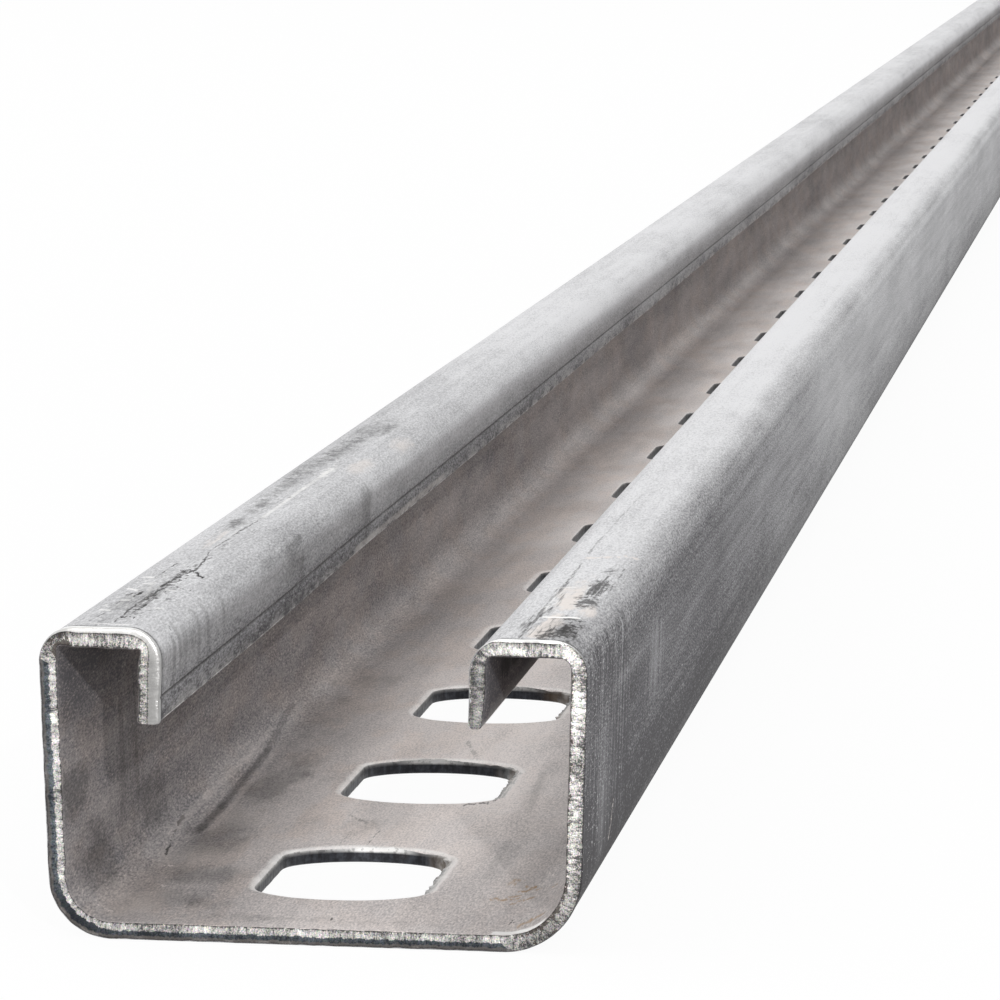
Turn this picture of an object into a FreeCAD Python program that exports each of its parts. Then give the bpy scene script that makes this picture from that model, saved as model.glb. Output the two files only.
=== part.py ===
import FreeCAD, Part
import math
import os

import Sketcher

# Slotted strut channel: one strip of galvanised sheet steel, punched and roll-formed into a C with
# down-turned lips. It lies on its web with the open side up. X runs across the channel, Y along it
# and away from the near saw-cut end, Z up. The origin is the middle of the underside.

NODE = "strut_channel"

# Driving sizes in millimetres, and the two leans in degrees.
SIZES = [
    ("channel_length", 3000.0, "stock length, sawn off square at both ends"),
    ("channel_width", 41.0, "overall width, across the two upper bends"),
    ("channel_height", 23.3, "underside of the web to the top of the flanges"),
    ("sheet_thickness", 1.25, "thickness of the strip, the same all round the section"),
    ("left_flange_width", 9.05, "outside of the left wall to the open face of its lip"),
    ("right_flange_width", 8.8, "outside of the right wall to the open face of its lip"),
    ("left_lip_depth", 7.1, "top of the flange to the tip of the left lip"),
    ("right_lip_depth", 6.7, "top of the flange to the tip of the right lip"),
    ("left_web_bend_radius", 3.6, "inside radius of the bend between web and left wall"),
    ("right_web_bend_radius", 4.6, "inside radius of the bend between web and right wall"),
    ("flange_bend_radius", 1.35, "inside radius of the bends between walls and flanges"),
    ("lip_bend_radius", 1.25, "inside radius of the bends between flanges and lips"),
    ("left_wall_lean", 3.5, "outward lean of the left wall, left by the rolling"),
    ("right_wall_lean", 0.4, "outward lean of the right wall, left by the rolling"),
    ("slot_width", 13.5, "width of each slot, across the channel"),
    ("slot_length", 31.0, "length of each slot, end to end along the channel"),
    ("slot_pitch", 60.0, "centre to centre of neighbouring slots"),
    ("first_slot_centre", 32.0, "near end of the channel to the middle of the first slot"),
]
# The row ends with the last slot that still lies whole inside the length.
SLOT_COUNT = "floor((channel_length - first_slot_centre - slot_length / 2) / slot_pitch) + 1"

START, END, CENTRE = 1, 2, 3
ORIGIN = (-1, 1)
# Places of the pieces along one face of the strip: line, bend, line, bend and so on.
LEFT_LIP, LEFT_LIP_BEND, LEFT_FLANGE, LEFT_FLANGE_BEND, LEFT_WALL, LEFT_WEB_BEND, WEB = range(7)
RIGHT_WEB_BEND, RIGHT_WALL, RIGHT_FLANGE_BEND, RIGHT_FLANGE, RIGHT_LIP_BEND, RIGHT_LIP = range(7, 13)
BEND_RADII = {
    LEFT_LIP_BEND: "lip_bend_radius",
    LEFT_FLANGE_BEND: "flange_bend_radius",
    LEFT_WEB_BEND: "left_web_bend_radius",
    RIGHT_WEB_BEND: "right_web_bend_radius",
    RIGHT_FLANGE_BEND: "flange_bend_radius",
    RIGHT_LIP_BEND: "lip_bend_radius",
}


def make_sheet(doc):
    """Put each driving size in the sheet, on a row with what it measures and its alias."""
    sheet = doc.addObject("Spreadsheet::Sheet", "sizes")
    for row, (alias, value, words) in enumerate(SIZES, start=1):
        sheet.set(f"A{row}", words)
        sheet.set(f"B{row}", str(value))
        sheet.setAlias(f"B{row}", alias)
    row = len(SIZES) + 1
    sheet.set(f"A{row}", "number of slots along the channel")
    sheet.set(f"B{row}", "=" + SLOT_COUNT)
    sheet.setAlias(f"B{row}", "slot_count")
    doc.recompute()
    return sheet


def section_corners(sheet):
    """Corners where the outer faces of the section would meet if its bends were sharp.

    They run from the tip of the left lip over its flange, down the left wall, along the underside
    and up and over to the tip of the right lip.
    """
    top = sheet.channel_height
    left_lip_x = sheet.left_flange_width - sheet.channel_width / 2
    right_lip_x = sheet.channel_width / 2 - sheet.right_flange_width
    outer_radius = sheet.flange_bend_radius + sheet.sheet_thickness
    bend_centre_x = sheet.channel_width / 2 - outer_radius
    bend_centre_z = top - outer_radius

    def wall_foot_and_head(lean_degrees):
        # A leaning wall touches the outside of its upper bend, which sets the overall width.
        lean = math.radians(lean_degrees)
        touch_x = bend_centre_x + outer_radius * math.cos(lean)
        touch_z = bend_centre_z - outer_radius * math.sin(lean)
        foot = touch_x - touch_z * math.tan(lean)
        return foot, foot + top * math.tan(lean)

    left_foot, left_head = wall_foot_and_head(sheet.left_wall_lean)
    right_foot, right_head = wall_foot_and_head(sheet.right_wall_lean)
    corners = [
        (left_lip_x, top - sheet.left_lip_depth),
        (left_lip_x, top),
        (-left_head, top),
        (-left_foot, 0.0),
        (right_foot, 0.0),
        (right_head, top),
        (right_lip_x, top),
        (right_lip_x, top - sheet.right_lip_depth),
    ]
    return [FreeCAD.Vector(x, z, 0) for x, z in corners]


def strip_face(sheet, corners, depth):
    """Lines and arcs of the face of the strip that lies at a depth below its outer face.

    The path turns left at every bend, so each arc runs anticlockwise from the line before it to
    the line after it, and the two faces of the strip share the centres of the bends.
    """
    pieces = []
    line_start = None
    for index, radius_name in enumerate(BEND_RADII.values(), start=1):
        before = (corners[index] - corners[index - 1]).normalize()
        after = (corners[index + 1] - corners[index]).normalize()
        left_of_before = FreeCAD.Vector(-before.y, before.x, 0)
        left_of_after = FreeCAD.Vector(-after.y, after.x, 0)
        outer_radius = getattr(sheet, radius_name) + sheet.sheet_thickness
        setback = outer_radius * math.tan(before.getAngle(after) / 2)
        centre = corners[index] - before * setback + left_of_before * outer_radius
        radius = outer_radius - depth
        arc_start = centre - left_of_before * radius
        arc_end = centre - left_of_after * radius
        if line_start is None:
            line_start = corners[0] + left_of_before * depth
        pieces.append(Part.LineSegment(line_start, arc_start))
        first_angle = math.atan2(-left_of_before.y, -left_of_before.x)
        last_angle = math.atan2(-left_of_after.y, -left_of_after.x)
        circle = Part.Circle(centre, FreeCAD.Vector(0, 0, 1), radius)
        pieces.append(Part.ArcOfCircle(circle, first_angle, last_angle))
        line_start = arc_end
    pieces.append(Part.LineSegment(line_start, corners[-1] + left_of_after * depth))
    return pieces


def dimension(sketch, name, kind, *arguments):
    """Add a named dimension and bind it to an expression on the sheet, given last."""
    *geometry, value, expression = arguments
    index = sketch.addConstraint(Sketcher.Constraint(kind, *geometry, value))
    sketch.renameConstraint(index, name)
    sketch.setExpression("Constraints." + name, expression)


def plane_of(body, role):
    return next(item for item in body.Origin.OriginFeatures if item.Role == role)


def sketch_on(body, role, name):
    sketch = body.newObject("Sketcher::SketchObject", name)
    sketch.AttachmentSupport = [(plane_of(body, role), "")]
    sketch.MapMode = "FlatFace"
    return sketch


def section_sketch(body, sheet):
    """Section of the rolled strip, an outer and an inner face a sheet's thickness apart."""
    sketch = sketch_on(body, "XZ_Plane", "rolled_section")
    corners = section_corners(sheet)
    thickness = sheet.sheet_thickness
    outer = sketch.addGeometry(strip_face(sheet, corners, 0.0), False)
    inner = sketch.addGeometry(strip_face(sheet, corners, thickness), False)
    for face in (outer, inner):
        for before, after in zip(face, face[1:]):
            sketch.addConstraint(Sketcher.Constraint("Tangent", before, END, after, START))

    # The cut edges of the strip are square to the lips.
    for place, point in ((LEFT_LIP, START), (RIGHT_LIP, END)):
        ends = [sketch.getPoint(face[place], point) for face in (outer, inner)]
        tip = sketch.addGeometry(Part.LineSegment(*ends), False)
        sketch.addConstraint(Sketcher.Constraint("Coincident", outer[place], point, tip, START))
        sketch.addConstraint(Sketcher.Constraint("Coincident", inner[place], point, tip, END))
        sketch.addConstraint(Sketcher.Constraint("Horizontal", tip))
        sketch.addConstraint(Sketcher.Constraint("Vertical", outer[place]))
        sketch.addConstraint(Sketcher.Constraint("Vertical", inner[place]))
    for place in (LEFT_FLANGE, WEB, RIGHT_FLANGE):
        sketch.addConstraint(Sketcher.Constraint("Horizontal", outer[place]))

    for place, radius_name in BEND_RADII.items():
        radius = getattr(sheet, radius_name)
        sketch.addConstraint(
            Sketcher.Constraint("Coincident", outer[place], CENTRE, inner[place], CENTRE))
        dimension(sketch, f"inside_radius_{place}", "Radius", inner[place],
                  radius, f"sizes.{radius_name}")
        dimension(sketch, f"outside_radius_{place}", "Radius", outer[place],
                  radius + thickness, f"sizes.{radius_name} + sizes.sheet_thickness")

    half_bend_span = "sizes.channel_width / 2 - sizes.flange_bend_radius - sizes.sheet_thickness"
    span = sheet.channel_width / 2 - sheet.flange_bend_radius - thickness
    dimension(sketch, "left_reach", "DistanceX", outer[LEFT_FLANGE_BEND], CENTRE, *ORIGIN,
              span, half_bend_span)
    dimension(sketch, "right_reach", "DistanceX", *ORIGIN, outer[RIGHT_FLANGE_BEND], CENTRE,
              span, half_bend_span)
    dimension(sketch, "left_lean", "Angle", outer[LEFT_WALL],
              math.radians(sheet.left_wall_lean - 90), "(sizes.left_wall_lean - 90) * 1 deg")
    dimension(sketch, "right_lean", "Angle", outer[RIGHT_WALL],
              math.radians(90 - sheet.right_wall_lean), "(90 - sizes.right_wall_lean) * 1 deg")

    sketch.addConstraint(Sketcher.Constraint("PointOnObject", outer[WEB], START, -1))
    for side, place in (("left", LEFT_FLANGE), ("right", RIGHT_FLANGE)):
        dimension(sketch, side + "_height", "DistanceY", *ORIGIN, outer[place], START,
                  sheet.channel_height, "sizes.channel_height")
    half_width = sheet.channel_width / 2
    dimension(sketch, "left_half_mouth", "DistanceX", outer[LEFT_LIP], START, *ORIGIN,
              half_width - sheet.left_flange_width,
              "sizes.channel_width / 2 - sizes.left_flange_width")
    dimension(sketch, "right_half_mouth", "DistanceX", *ORIGIN, outer[RIGHT_LIP], END,
              half_width - sheet.right_flange_width,
              "sizes.channel_width / 2 - sizes.right_flange_width")
    for side, place, point in (("left", LEFT_LIP, START), ("right", RIGHT_LIP, END)):
        tip_height = sheet.channel_height - getattr(sheet, side + "_lip_depth")
        dimension(sketch, side + "_tip_height", "DistanceY", *ORIGIN, outer[place], point,
                  tip_height, f"sizes.channel_height - sizes.{side}_lip_depth")
    return sketch


def slot_sketch(body, sheet):
    """Outline of the first slot on the underside: two straight sides and two round ends."""
    sketch = sketch_on(body, "XY_Plane", "slot_outline")
    radius = sheet.slot_width / 2
    half_straight = sheet.slot_length / 2 - radius
    centre_y = sheet.first_slot_centre - sheet.channel_length / 2
    near = FreeCAD.Vector(0, centre_y - half_straight, 0)
    far = FreeCAD.Vector(0, centre_y + half_straight, 0)
    side = FreeCAD.Vector(radius, 0, 0)
    up = FreeCAD.Vector(0, 0, 1)
    right, far_end, left, near_end = sketch.addGeometry([
        Part.LineSegment(near + side, far + side),
        Part.ArcOfCircle(Part.Circle(far, up, radius), 0, math.pi),
        Part.LineSegment(far - side, near - side),
        Part.ArcOfCircle(Part.Circle(near, up, radius), math.pi, 2 * math.pi),
    ], False)
    loop = (right, far_end, left, near_end)
    for before, after in zip(loop, loop[1:] + loop[:1]):
        sketch.addConstraint(Sketcher.Constraint("Tangent", before, END, after, START))
    sketch.addConstraint(Sketcher.Constraint("Vertical", right))
    sketch.addConstraint(Sketcher.Constraint("PointOnObject", near_end, CENTRE, -2))
    dimension(sketch, "end_radius", "Radius", near_end, radius, "sizes.slot_width / 2")
    dimension(sketch, "straight", "DistanceY", near_end, CENTRE, far_end, CENTRE,
              2 * half_straight, "sizes.slot_length - sizes.slot_width")
    dimension(sketch, "near_centre", "DistanceY", near_end, CENTRE, *ORIGIN,
              half_straight - centre_y,
              "sizes.channel_length / 2 - sizes.first_slot_centre"
              " + (sizes.slot_length - sizes.slot_width) / 2")
    return sketch


def make_channel(doc, sheet):
    """Roll the section along the channel, then punch the row of slots through the web."""
    body = doc.addObject("PartDesign::Body", NODE)
    body.Label = NODE

    rolled = body.newObject("PartDesign::Pad", "rolled_strip")
    rolled.Profile = section_sketch(body, sheet)
    rolled.SideType = "Symmetric"
    rolled.setExpression("Length", "sizes.channel_length")
    doc.recompute()
    rolled_volume = rolled.Shape.Volume

    punched = body.newObject("PartDesign::Pocket", "punched_slot")
    punched.Profile = slot_sketch(body, sheet)
    punched.Reversed = True
    punched.setExpression("Length", "sizes.sheet_thickness * 2")

    row = body.newObject("PartDesign::LinearPattern", "slot_row")
    row.Originals = [punched]
    row.Direction = (plane_of(body, "Y_Axis"), [""])
    row.Mode = "Spacing"
    row.setExpression("Offset", "sizes.slot_pitch")
    row.setExpression("Occurrences", "sizes.slot_count")
    body.Tip = row
    doc.recompute()

    radius = sheet.slot_width / 2
    slot_area = sheet.slot_width * (sheet.slot_length - sheet.slot_width) + math.pi * radius ** 2
    expected = rolled_volume - slot_area * sheet.sheet_thickness * sheet.slot_count
    if not math.isclose(body.Shape.Volume, expected, rel_tol=1e-6):
        raise RuntimeError(f"the slots left {body.Shape.Volume:.1f} mm3, not {expected:.1f} mm3")
    return body


def check(doc, bodies):
    for item in doc.Objects:
        failed = {"Invalid", "Error"} & set(item.State)
        if failed:
            raise RuntimeError(f"{item.Label} is {', '.join(sorted(failed))}")
    for body in bodies:
        if body.Shape.isNull() or not body.Shape.isValid():
            raise RuntimeError(f"{body.Label} has no valid shape")
        if len(body.Shape.Solids) != 1:
            raise RuntimeError(f"{body.Label} has {len(body.Shape.Solids)} solids, not one")


document = FreeCAD.newDocument("slotted_strut_channel")
sizes = make_sheet(document)
channel = make_channel(document, sizes)
check(document, [channel])

os.makedirs("parts", exist_ok=True)
channel.Shape.exportStep(f"parts/{channel.Label}.step")
print(f"{channel.Label}: {sizes.slot_count:.0f} slots, {channel.Shape.Volume:.1f} mm3,",
      channel.Shape.BoundBox)
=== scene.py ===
"""Slotted strut channel: the looks of one length of galvanised, roll-formed and punched channel."""

import math

import bmesh
import bpy
from bpy.props import FloatProperty, FloatVectorProperty, PointerProperty
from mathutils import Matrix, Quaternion, Vector, noise


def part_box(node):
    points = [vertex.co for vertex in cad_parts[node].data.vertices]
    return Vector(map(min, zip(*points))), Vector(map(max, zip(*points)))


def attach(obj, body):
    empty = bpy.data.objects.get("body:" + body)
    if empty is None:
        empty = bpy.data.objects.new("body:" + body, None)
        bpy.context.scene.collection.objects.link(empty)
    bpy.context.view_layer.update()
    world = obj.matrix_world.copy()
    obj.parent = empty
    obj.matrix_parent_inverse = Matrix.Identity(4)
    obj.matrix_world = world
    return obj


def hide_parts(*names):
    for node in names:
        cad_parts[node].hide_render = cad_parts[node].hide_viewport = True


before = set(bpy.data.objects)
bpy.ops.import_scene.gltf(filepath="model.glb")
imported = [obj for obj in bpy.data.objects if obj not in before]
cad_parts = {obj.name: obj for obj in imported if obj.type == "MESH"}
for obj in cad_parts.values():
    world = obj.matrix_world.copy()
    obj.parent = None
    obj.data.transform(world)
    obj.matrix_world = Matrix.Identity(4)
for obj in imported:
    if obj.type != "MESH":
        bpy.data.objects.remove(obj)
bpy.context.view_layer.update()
NODE = "strut_channel"
LOW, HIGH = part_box(NODE)

bl_info = {
    "name": "Slotted strut channel",
    "version": (1, 0, 0),
    "blender": (4, 5, 0),
    "location": "View3D > Sidebar > Channel",
    "description": "Rolls, punches and finishes a slotted strut channel on its CAD frame",
    "category": "Object",
}

MM = 0.001
COARSE, MEDIUM, FINE = range(3)
OUTSIDE, INSIDE, SAWN, SHEARED, OUTSIDE_LEFT, OUTSIDE_RIGHT, INSIDE_LEFT, INSIDE_RIGHT = range(8)
# Finishes of the left and the right half of each skin as far from the near end as it is marked.
MARKED = {OUTSIDE: (OUTSIDE_LEFT, OUTSIDE_RIGHT), INSIDE: (INSIDE_LEFT, INSIDE_RIGHT)}
MARKED_LENGTH = 0.24

# Segments of each leg of the strip at the coarse, medium and fine levels.
LEG_SEGMENTS = {
    "left_lip": (1, 4, 16),
    "left_lip_bend": (4, 8, 16),
    "left_flange": (1, 4, 16),
    "left_flange_bend": (4, 8, 16),
    "left_wall": (2, 8, 64),
    "left_web_bend": (6, 12, 36),
    "web": (6, 24, 120),
    "right_web_bend": (6, 12, 36),
    "right_wall": (2, 8, 64),
    "right_flange_bend": (4, 8, 16),
    "right_flange": (1, 4, 16),
    "right_lip_bend": (4, 8, 16),
    "right_lip": (1, 4, 16),
}
LEGS = list(LEG_SEGMENTS)
WEB = LEGS.index("web")

# How pale each flat leg is where it begins and ends, outside and then inside, from 0 (grimy, or in
# painted shade) to 1 (rubbed bright). The outer right wall is painted dark, darkest at its foot, as a
# painted dark reflection, and the inner left wall is painted darker towards its top as painted shade
# under the flange and the lip. A bend runs from the end of the leg before it to the start of the
# next.
LEG_TONES_AND_SHADE = {
    "left_lip": ((0.00, 0.68), (0.14, 0.18)),
    "left_flange": ((0.68, 0.69), (0.23, 0.23)),
    # Painted shade: the inner left wall darkens towards its top, under the flange and the lip.
    "left_wall": ((0.50, 0.35), (0.15, 0.32)),
    "web": ((0.40, 0.40), (0.51, 0.70)),
    # Painted reflection: the outer right wall is dark, darkest at its foot.
    "right_wall": ((0.00, 0.12), (0.52, 0.4)),
    "right_flange": ((0.80, 0.83), (0.06, 0.06)),
    "right_lip": ((0.55, 0.45), (0.05, 0.02)),
}

# Height of the burr that the saw smeared over the outer edge of each leg, as a share of the whole,
# where its smooth band begins across the cut, how bright it is, which is bare metal with a painted
# highlight of its rounded edge, and how far the cut is swollen inwards, as a share of the burr's
# whole height too.
BURR_LOOKS = {
    "left_lip": (0.45, 0.43, 0.30, 1.30),
    "left_flange": (0.36, 0.70, 0.75, 1.00),
    "left_wall": (0.15, 1.3, 0.2, 0.35),
    "web": (0.0, 1.3, 0.1, 0.25),
    "right_wall": (0.12, 1.3, 0.3, 0.0),
    "right_flange": (0.35, 0.84, 0.85, 0.0),
    "right_lip": (0.12, 1.3, 0.2, 0.0),
}

# How far the bright shear band reaches from the inner face across the cut, as a share, how pitted
# the cut is, and how bright the band and the torn rest are.
CUT_LOOKS = {
    "left_lip": (1.3, 0.42, 0.30, 0.10),
    "left_flange": (1.3, 0.40, 0.33, 0.10),
    "left_wall": (0.48, 0.12, 0.42, 0.10),
    "web": (0.50, 0.22, 0.34, 0.055),
    "right_wall": (1.3, 0.50, 0.40, 0.10),
    "right_flange": (1.3, 0.15, 0.41, 0.10),
    "right_lip": (1.3, 0.35, 0.14, 0.10),
}
# Bends whose cut differs from what lies on both sides of them.
BEND_CUT_LOOKS = {
    "left_flange_bend": (1.3, 1.0, 0.14, 0.05),
    "left_web_bend": (0.34, 0.35, 0.30, 0.012),
    "right_web_bend": (1.3, 0.8, 0.13, 0.08),
}

# Inside radii, in millimetres, of the bends that were pressed tighter inside than outside.
TIGHT_CORNERS = {
    "left_lip_bend": 0.35,
    "left_flange_bend": 0.35,
    "right_flange_bend": 0.85,
    "right_lip_bend": 0.55,
}

# Distances from a sawn end of the rows of points on the skins, and shares across the cut.
END_ROWS = (0.0, 0.05, 0.12, 0.22, 0.36, 0.55, 0.85, 1.3, 2.2, 4.0)
CUT_SHARES = (0.0, 0.07, 0.2, 0.35, 0.5, 0.65, 0.8, 0.93, 1.0)
# The web is made of cells, one round each slot. The near ones have more rows of points.
NEAR_CELLS = 5
NEAR_CELL_ROWS = 20
FAR_CELL_ROWS = 3


def metres(name, description, default):
    return FloatProperty(name=name, description=description, default=default, unit="LENGTH")


def tint(name, description, default):
    return FloatVectorProperty(
        name=name, description=description, subtype="COLOR", size=3, default=default)


class ChannelSizes(bpy.types.PropertyGroup):
    """Sizes of the rolled section and of its slots."""

    channel_width: metres("Channel Width", "Overall width, across the upper bends", 0.041)
    channel_height: metres("Channel Height", "Underside of the web to the flanges", 0.0233)
    sheet_thickness: metres("Sheet Thickness", "Thickness of the strip", 0.00125)
    left_flange_width: metres(
        "Left Flange Width", "Outside of the wall to the lip's open face", 0.00905)
    right_flange_width: metres(
        "Right Flange Width", "Outside of the wall to the lip's open face", 0.0088)
    left_lip_depth: metres("Left Lip Depth", "Top of the flange to the tip of the lip", 0.0071)
    right_lip_depth: metres("Right Lip Depth", "Top of the flange to the tip of the lip", 0.0067)
    left_web_bend: metres("Left Web Bend", "Inside radius between web and left wall", 0.0036)
    right_web_bend: metres("Right Web Bend", "Inside radius between web and right wall", 0.0046)
    flange_bend: metres("Flange Bend", "Inside radius between walls and flanges", 0.00135)
    lip_bend: metres("Lip Bend", "Inside radius between flanges and lips", 0.00125)
    left_lean: FloatProperty(
        name="Left Wall Lean", description="Outward lean of the left wall",
        default=math.radians(3.5), subtype="ANGLE")
    right_lean: FloatProperty(
        name="Right Wall Lean", description="Outward lean of the right wall",
        default=math.radians(0.4), subtype="ANGLE")
    slot_width: metres("Slot Width", "Width of each slot, across the channel", 0.0135)
    slot_length: metres("Slot Length", "Length of each slot, end to end", 0.031)
    slot_pitch: metres("Slot Pitch", "Centre to centre of neighbouring slots", 0.060)
    first_slot: metres("First Slot", "Near end of the channel to the first slot's middle", 0.032)
    tip_round: metres("Tip Round", "Rounding of the slit edges at the tips of the lips", 0.0003)
    burr_height: metres("Burr Height", "How far the saw's burr stands off the outer face", 0.00027)
    cut_round: metres("Cut Rounding", "Rounding of the edges of the sawn ends", 0.00007)


class ChannelFinish(bpy.types.PropertyGroup):
    """Colours of the galvanised coat, the bare steel and the dirt, some of which also paint shade and
    highlights.
    """

    zinc_pale: tint("Pale Zinc", "Rubbed zinc on the flanges", (0.70, 0.70, 0.715))
    # The dull zinc also paints the outer right wall dark, as a painted dark reflection.
    zinc_dull_and_shade: tint("Dull Zinc", "Weathered zinc on the outer walls", (0.062, 0.059, 0.065))
    inside_pale: tint(
        "Pale Inside", "Clean zinc on the web, inside the channel", (0.79, 0.722, 0.692))
    # The dull inside colour also paints the shade on the upper inner left wall.
    inside_dull_and_shade: tint("Dull Inside", "Grey zinc on the inner walls", (0.156, 0.152, 0.166))
    # The bright bare steel also paints highlights: glints and a highlight line along the right web
    # bend's cut edge.
    bare_bright: tint(
        "Bright Bare Steel", "Burnished steel at cuts and rubbed edges", (0.95, 0.94, 0.92))
    bare_dark: tint("Dark Bare Steel", "Torn steel at cuts and in the slots", (0.055, 0.06, 0.072))
    rust: tint("Rust", "Thin rust stains", (0.40, 0.25, 0.12))
    # The scuffed zinc also paints glints inside and a highlight along the left lip's strip.
    cream: tint("Scuffed Zinc", "Chalky zinc where the flanges were scuffed", (0.74, 0.68, 0.64))
    # Grime also paints shade: in the left lip's crease, behind the burr, low on the outer right wall,
    # on the inner left wall and in the seam before the cut's burr band.
    grime: tint("Grime", "Dirt in the scores and creases", (0.032, 0.030, 0.030))


class ChannelStudio(bpy.types.PropertyGroup):
    """The camera, the lamps and the floor."""

    camera_place: FloatVectorProperty(
        name="Camera Place", description="Where the camera stands",
        subtype="TRANSLATION", unit="LENGTH", size=3, default=(0.06495, -2.0718, 0.08367))
    camera_aim: FloatVectorProperty(
        name="Camera Aim", description="Point of the near end that the camera looks at",
        subtype="TRANSLATION", unit="LENGTH", size=3, default=(0.0137, -1.5, 0.03373))
    camera_roll: FloatProperty(
        name="Camera Roll", description="Turn of the camera about its line of sight",
        default=math.radians(1.21), subtype="ANGLE")
    camera_lens: FloatProperty(
        name="Lens", description="Focal length of the camera on a 36 mm sensor",
        default=280.5, unit="CAMERA")
    floor_size: metres("Floor Size", "Side of the square floor", 16.0)
    soft_light: FloatProperty(
        name="Soft Light", description="Strength of the light from all round", default=0.6)


def along_key(along):
    """A whole number by which rows of any level find the same place along the strip."""
    return round(along * 1e7)


class Station:
    """A place along the strip, with its point and outward normal on the outer face."""

    def __init__(self, leg, along, from_tip, point, normal):
        self.leg = leg
        self.along = along
        self.from_tip = from_tip
        self.point = point
        self.normal = normal
        self.key = along_key(along)


def outer_corners(sizes):
    """Corners where the outer faces would meet if the bends were sharp, as in the CAD source."""
    top = sizes.channel_height
    half_width = sizes.channel_width / 2
    outer_radius = sizes.flange_bend + sizes.sheet_thickness

    def foot_and_head(lean):
        touch_x = half_width - outer_radius + outer_radius * math.cos(lean)
        touch_z = top - outer_radius - outer_radius * math.sin(lean)
        foot = touch_x - touch_z * math.tan(lean)
        return foot, foot + top * math.tan(lean)

    left_foot, left_head = foot_and_head(sizes.left_lean)
    right_foot, right_head = foot_and_head(sizes.right_lean)
    left_lip_x = sizes.left_flange_width - half_width
    right_lip_x = half_width - sizes.right_flange_width
    return [
        Vector((left_lip_x, top - sizes.left_lip_depth)),
        Vector((left_lip_x, top)),
        Vector((-left_head, top)),
        Vector((-left_foot, 0.0)),
        Vector((right_foot, 0.0)),
        Vector((right_head, top)),
        Vector((right_lip_x, top)),
        Vector((right_lip_x, top - sizes.right_lip_depth)),
    ]


def strip_legs(sizes):
    """Flats and bends of the strip in order, each with its length and a way to find its points."""
    corners = outer_corners(sizes)
    radii = [sizes.lip_bend, sizes.flange_bend, sizes.left_web_bend,
             sizes.right_web_bend, sizes.flange_bend, sizes.lip_bend]
    legs = []

    def add_flat(start, end, normal):
        legs.append(((end - start).length, lambda share: (start.lerp(end, share), normal)))

    def add_bend(centre, radius, first, last):
        def at(share):
            angle = first + (last - first) * share
            normal = Vector((math.cos(angle), math.sin(angle)))
            return centre + normal * radius, normal
        legs.append(((radius - sizes.sheet_thickness / 2) * (last - first), at))

    start = corners[0]
    for index, radius in enumerate(radii, start=1):
        before = (corners[index] - corners[index - 1]).normalized()
        after = (corners[index + 1] - corners[index]).normalized()
        outward_before = Vector((before.y, -before.x))
        outward_after = Vector((after.y, -after.x))
        outer_radius = radius + sizes.sheet_thickness
        turn = before.angle(after)
        setback = outer_radius * math.tan(turn / 2)
        centre = corners[index] - before * setback - outward_before * outer_radius
        add_flat(start, centre + outward_before * outer_radius, outward_before)
        first = math.atan2(outward_before.y, outward_before.x)
        add_bend(centre, outer_radius, first, first + turn)
        start = centre + outward_after * outer_radius
    add_flat(start, corners[-1], outward_after)
    return legs


def tip_places(sizes):
    """Distances from a tip at which its rounding is sampled."""
    return [sizes.tip_round * (1 - math.cos(math.radians(angle))) for angle in (0, 30, 60)]


# Distances from the left lip's tip of the near side, bottom and far side of its crease.
CREASE_PLACES = (1.78 * MM, 2.0 * MM, 2.16 * MM)


def strip_stations(sizes, level):
    """Stations along the whole strip, from the tip of the left lip to that of the right."""
    legs = strip_legs(sizes)
    total = sum(length for length, _ in legs)
    stations = []
    begun = 0.0
    for index, (length, at) in enumerate(legs):
        count = LEG_SEGMENTS[LEGS[index]][level]
        low = sizes.tip_round if index == 0 else 0.0
        high = length - sizes.tip_round if index == len(legs) - 1 else length
        places = [low + (high - low) * step / count for step in range(count)]
        if index == 0:
            near_crease = CREASE_PLACES[0] - 0.05 * MM, CREASE_PLACES[-1] + 0.05 * MM
            places = [p for p in places if not near_crease[0] < p < near_crease[1]]
            places = tip_places(sizes) + places + list(CREASE_PLACES)
            places.sort()
        if index == len(legs) - 1:
            places += [length - place for place in [sizes.tip_round] + tip_places(sizes)[::-1]]
        for place in places:
            point, normal = at(place / length)
            along = begun + place
            stations.append(
                Station(LEGS[index], along, min(along, total - along), point, normal))
        begun += length
    return stations


# Relief left by the saw and the press: how deep the crease is, how far from a sawn end the burr
# and the cut's rounding reach, where the burr ends, and how high it is at the far end as a share.
CREASE_DEPTH = 0.07 * MM
CUT_REACH = 1.2 * MM
BURR_ROOT = 0.45 * MM
FAR_BURR = 0.4
# How much shallower the left lip grows between two distances from the near end, and how much its
# edge wanders.
LIP_DRIFT = 0.4 * MM
LIP_DRIFT_SPAN = (55 * MM, 150 * MM)
LIP_WANDER = 0.12 * MM
# How deep and how far up from its tip the inside of the right lip is worn.
WORN_DEPTH = 0.22 * MM
WORN_REACH = 3.0 * MM
# How far from a lip's tip the metal is rubbed quite bright, and where that ends.
TIP_RUB = (0.1 * MM, 0.45 * MM)
# Two faces that meet at more than this angle are shaded with an edge between them.
SHARP_ANGLE = math.radians(38)


def blend(first, second, share):
    return tuple(a + (b - a) * share for a, b in zip(first, second))


def leg_value(table, leg, share):
    """Values of a flat from the table, or the blend of a bend's two neighbours."""
    if leg in table:
        return table[leg]
    index = LEGS.index(leg)
    return blend(table[LEGS[index - 1]], table[LEGS[index + 1]], share)


def smooth_step(low, high, value):
    share = max(0.0, min(1.0, (value - low) / (high - low)))
    return share * share * (3 - 2 * share)


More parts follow.
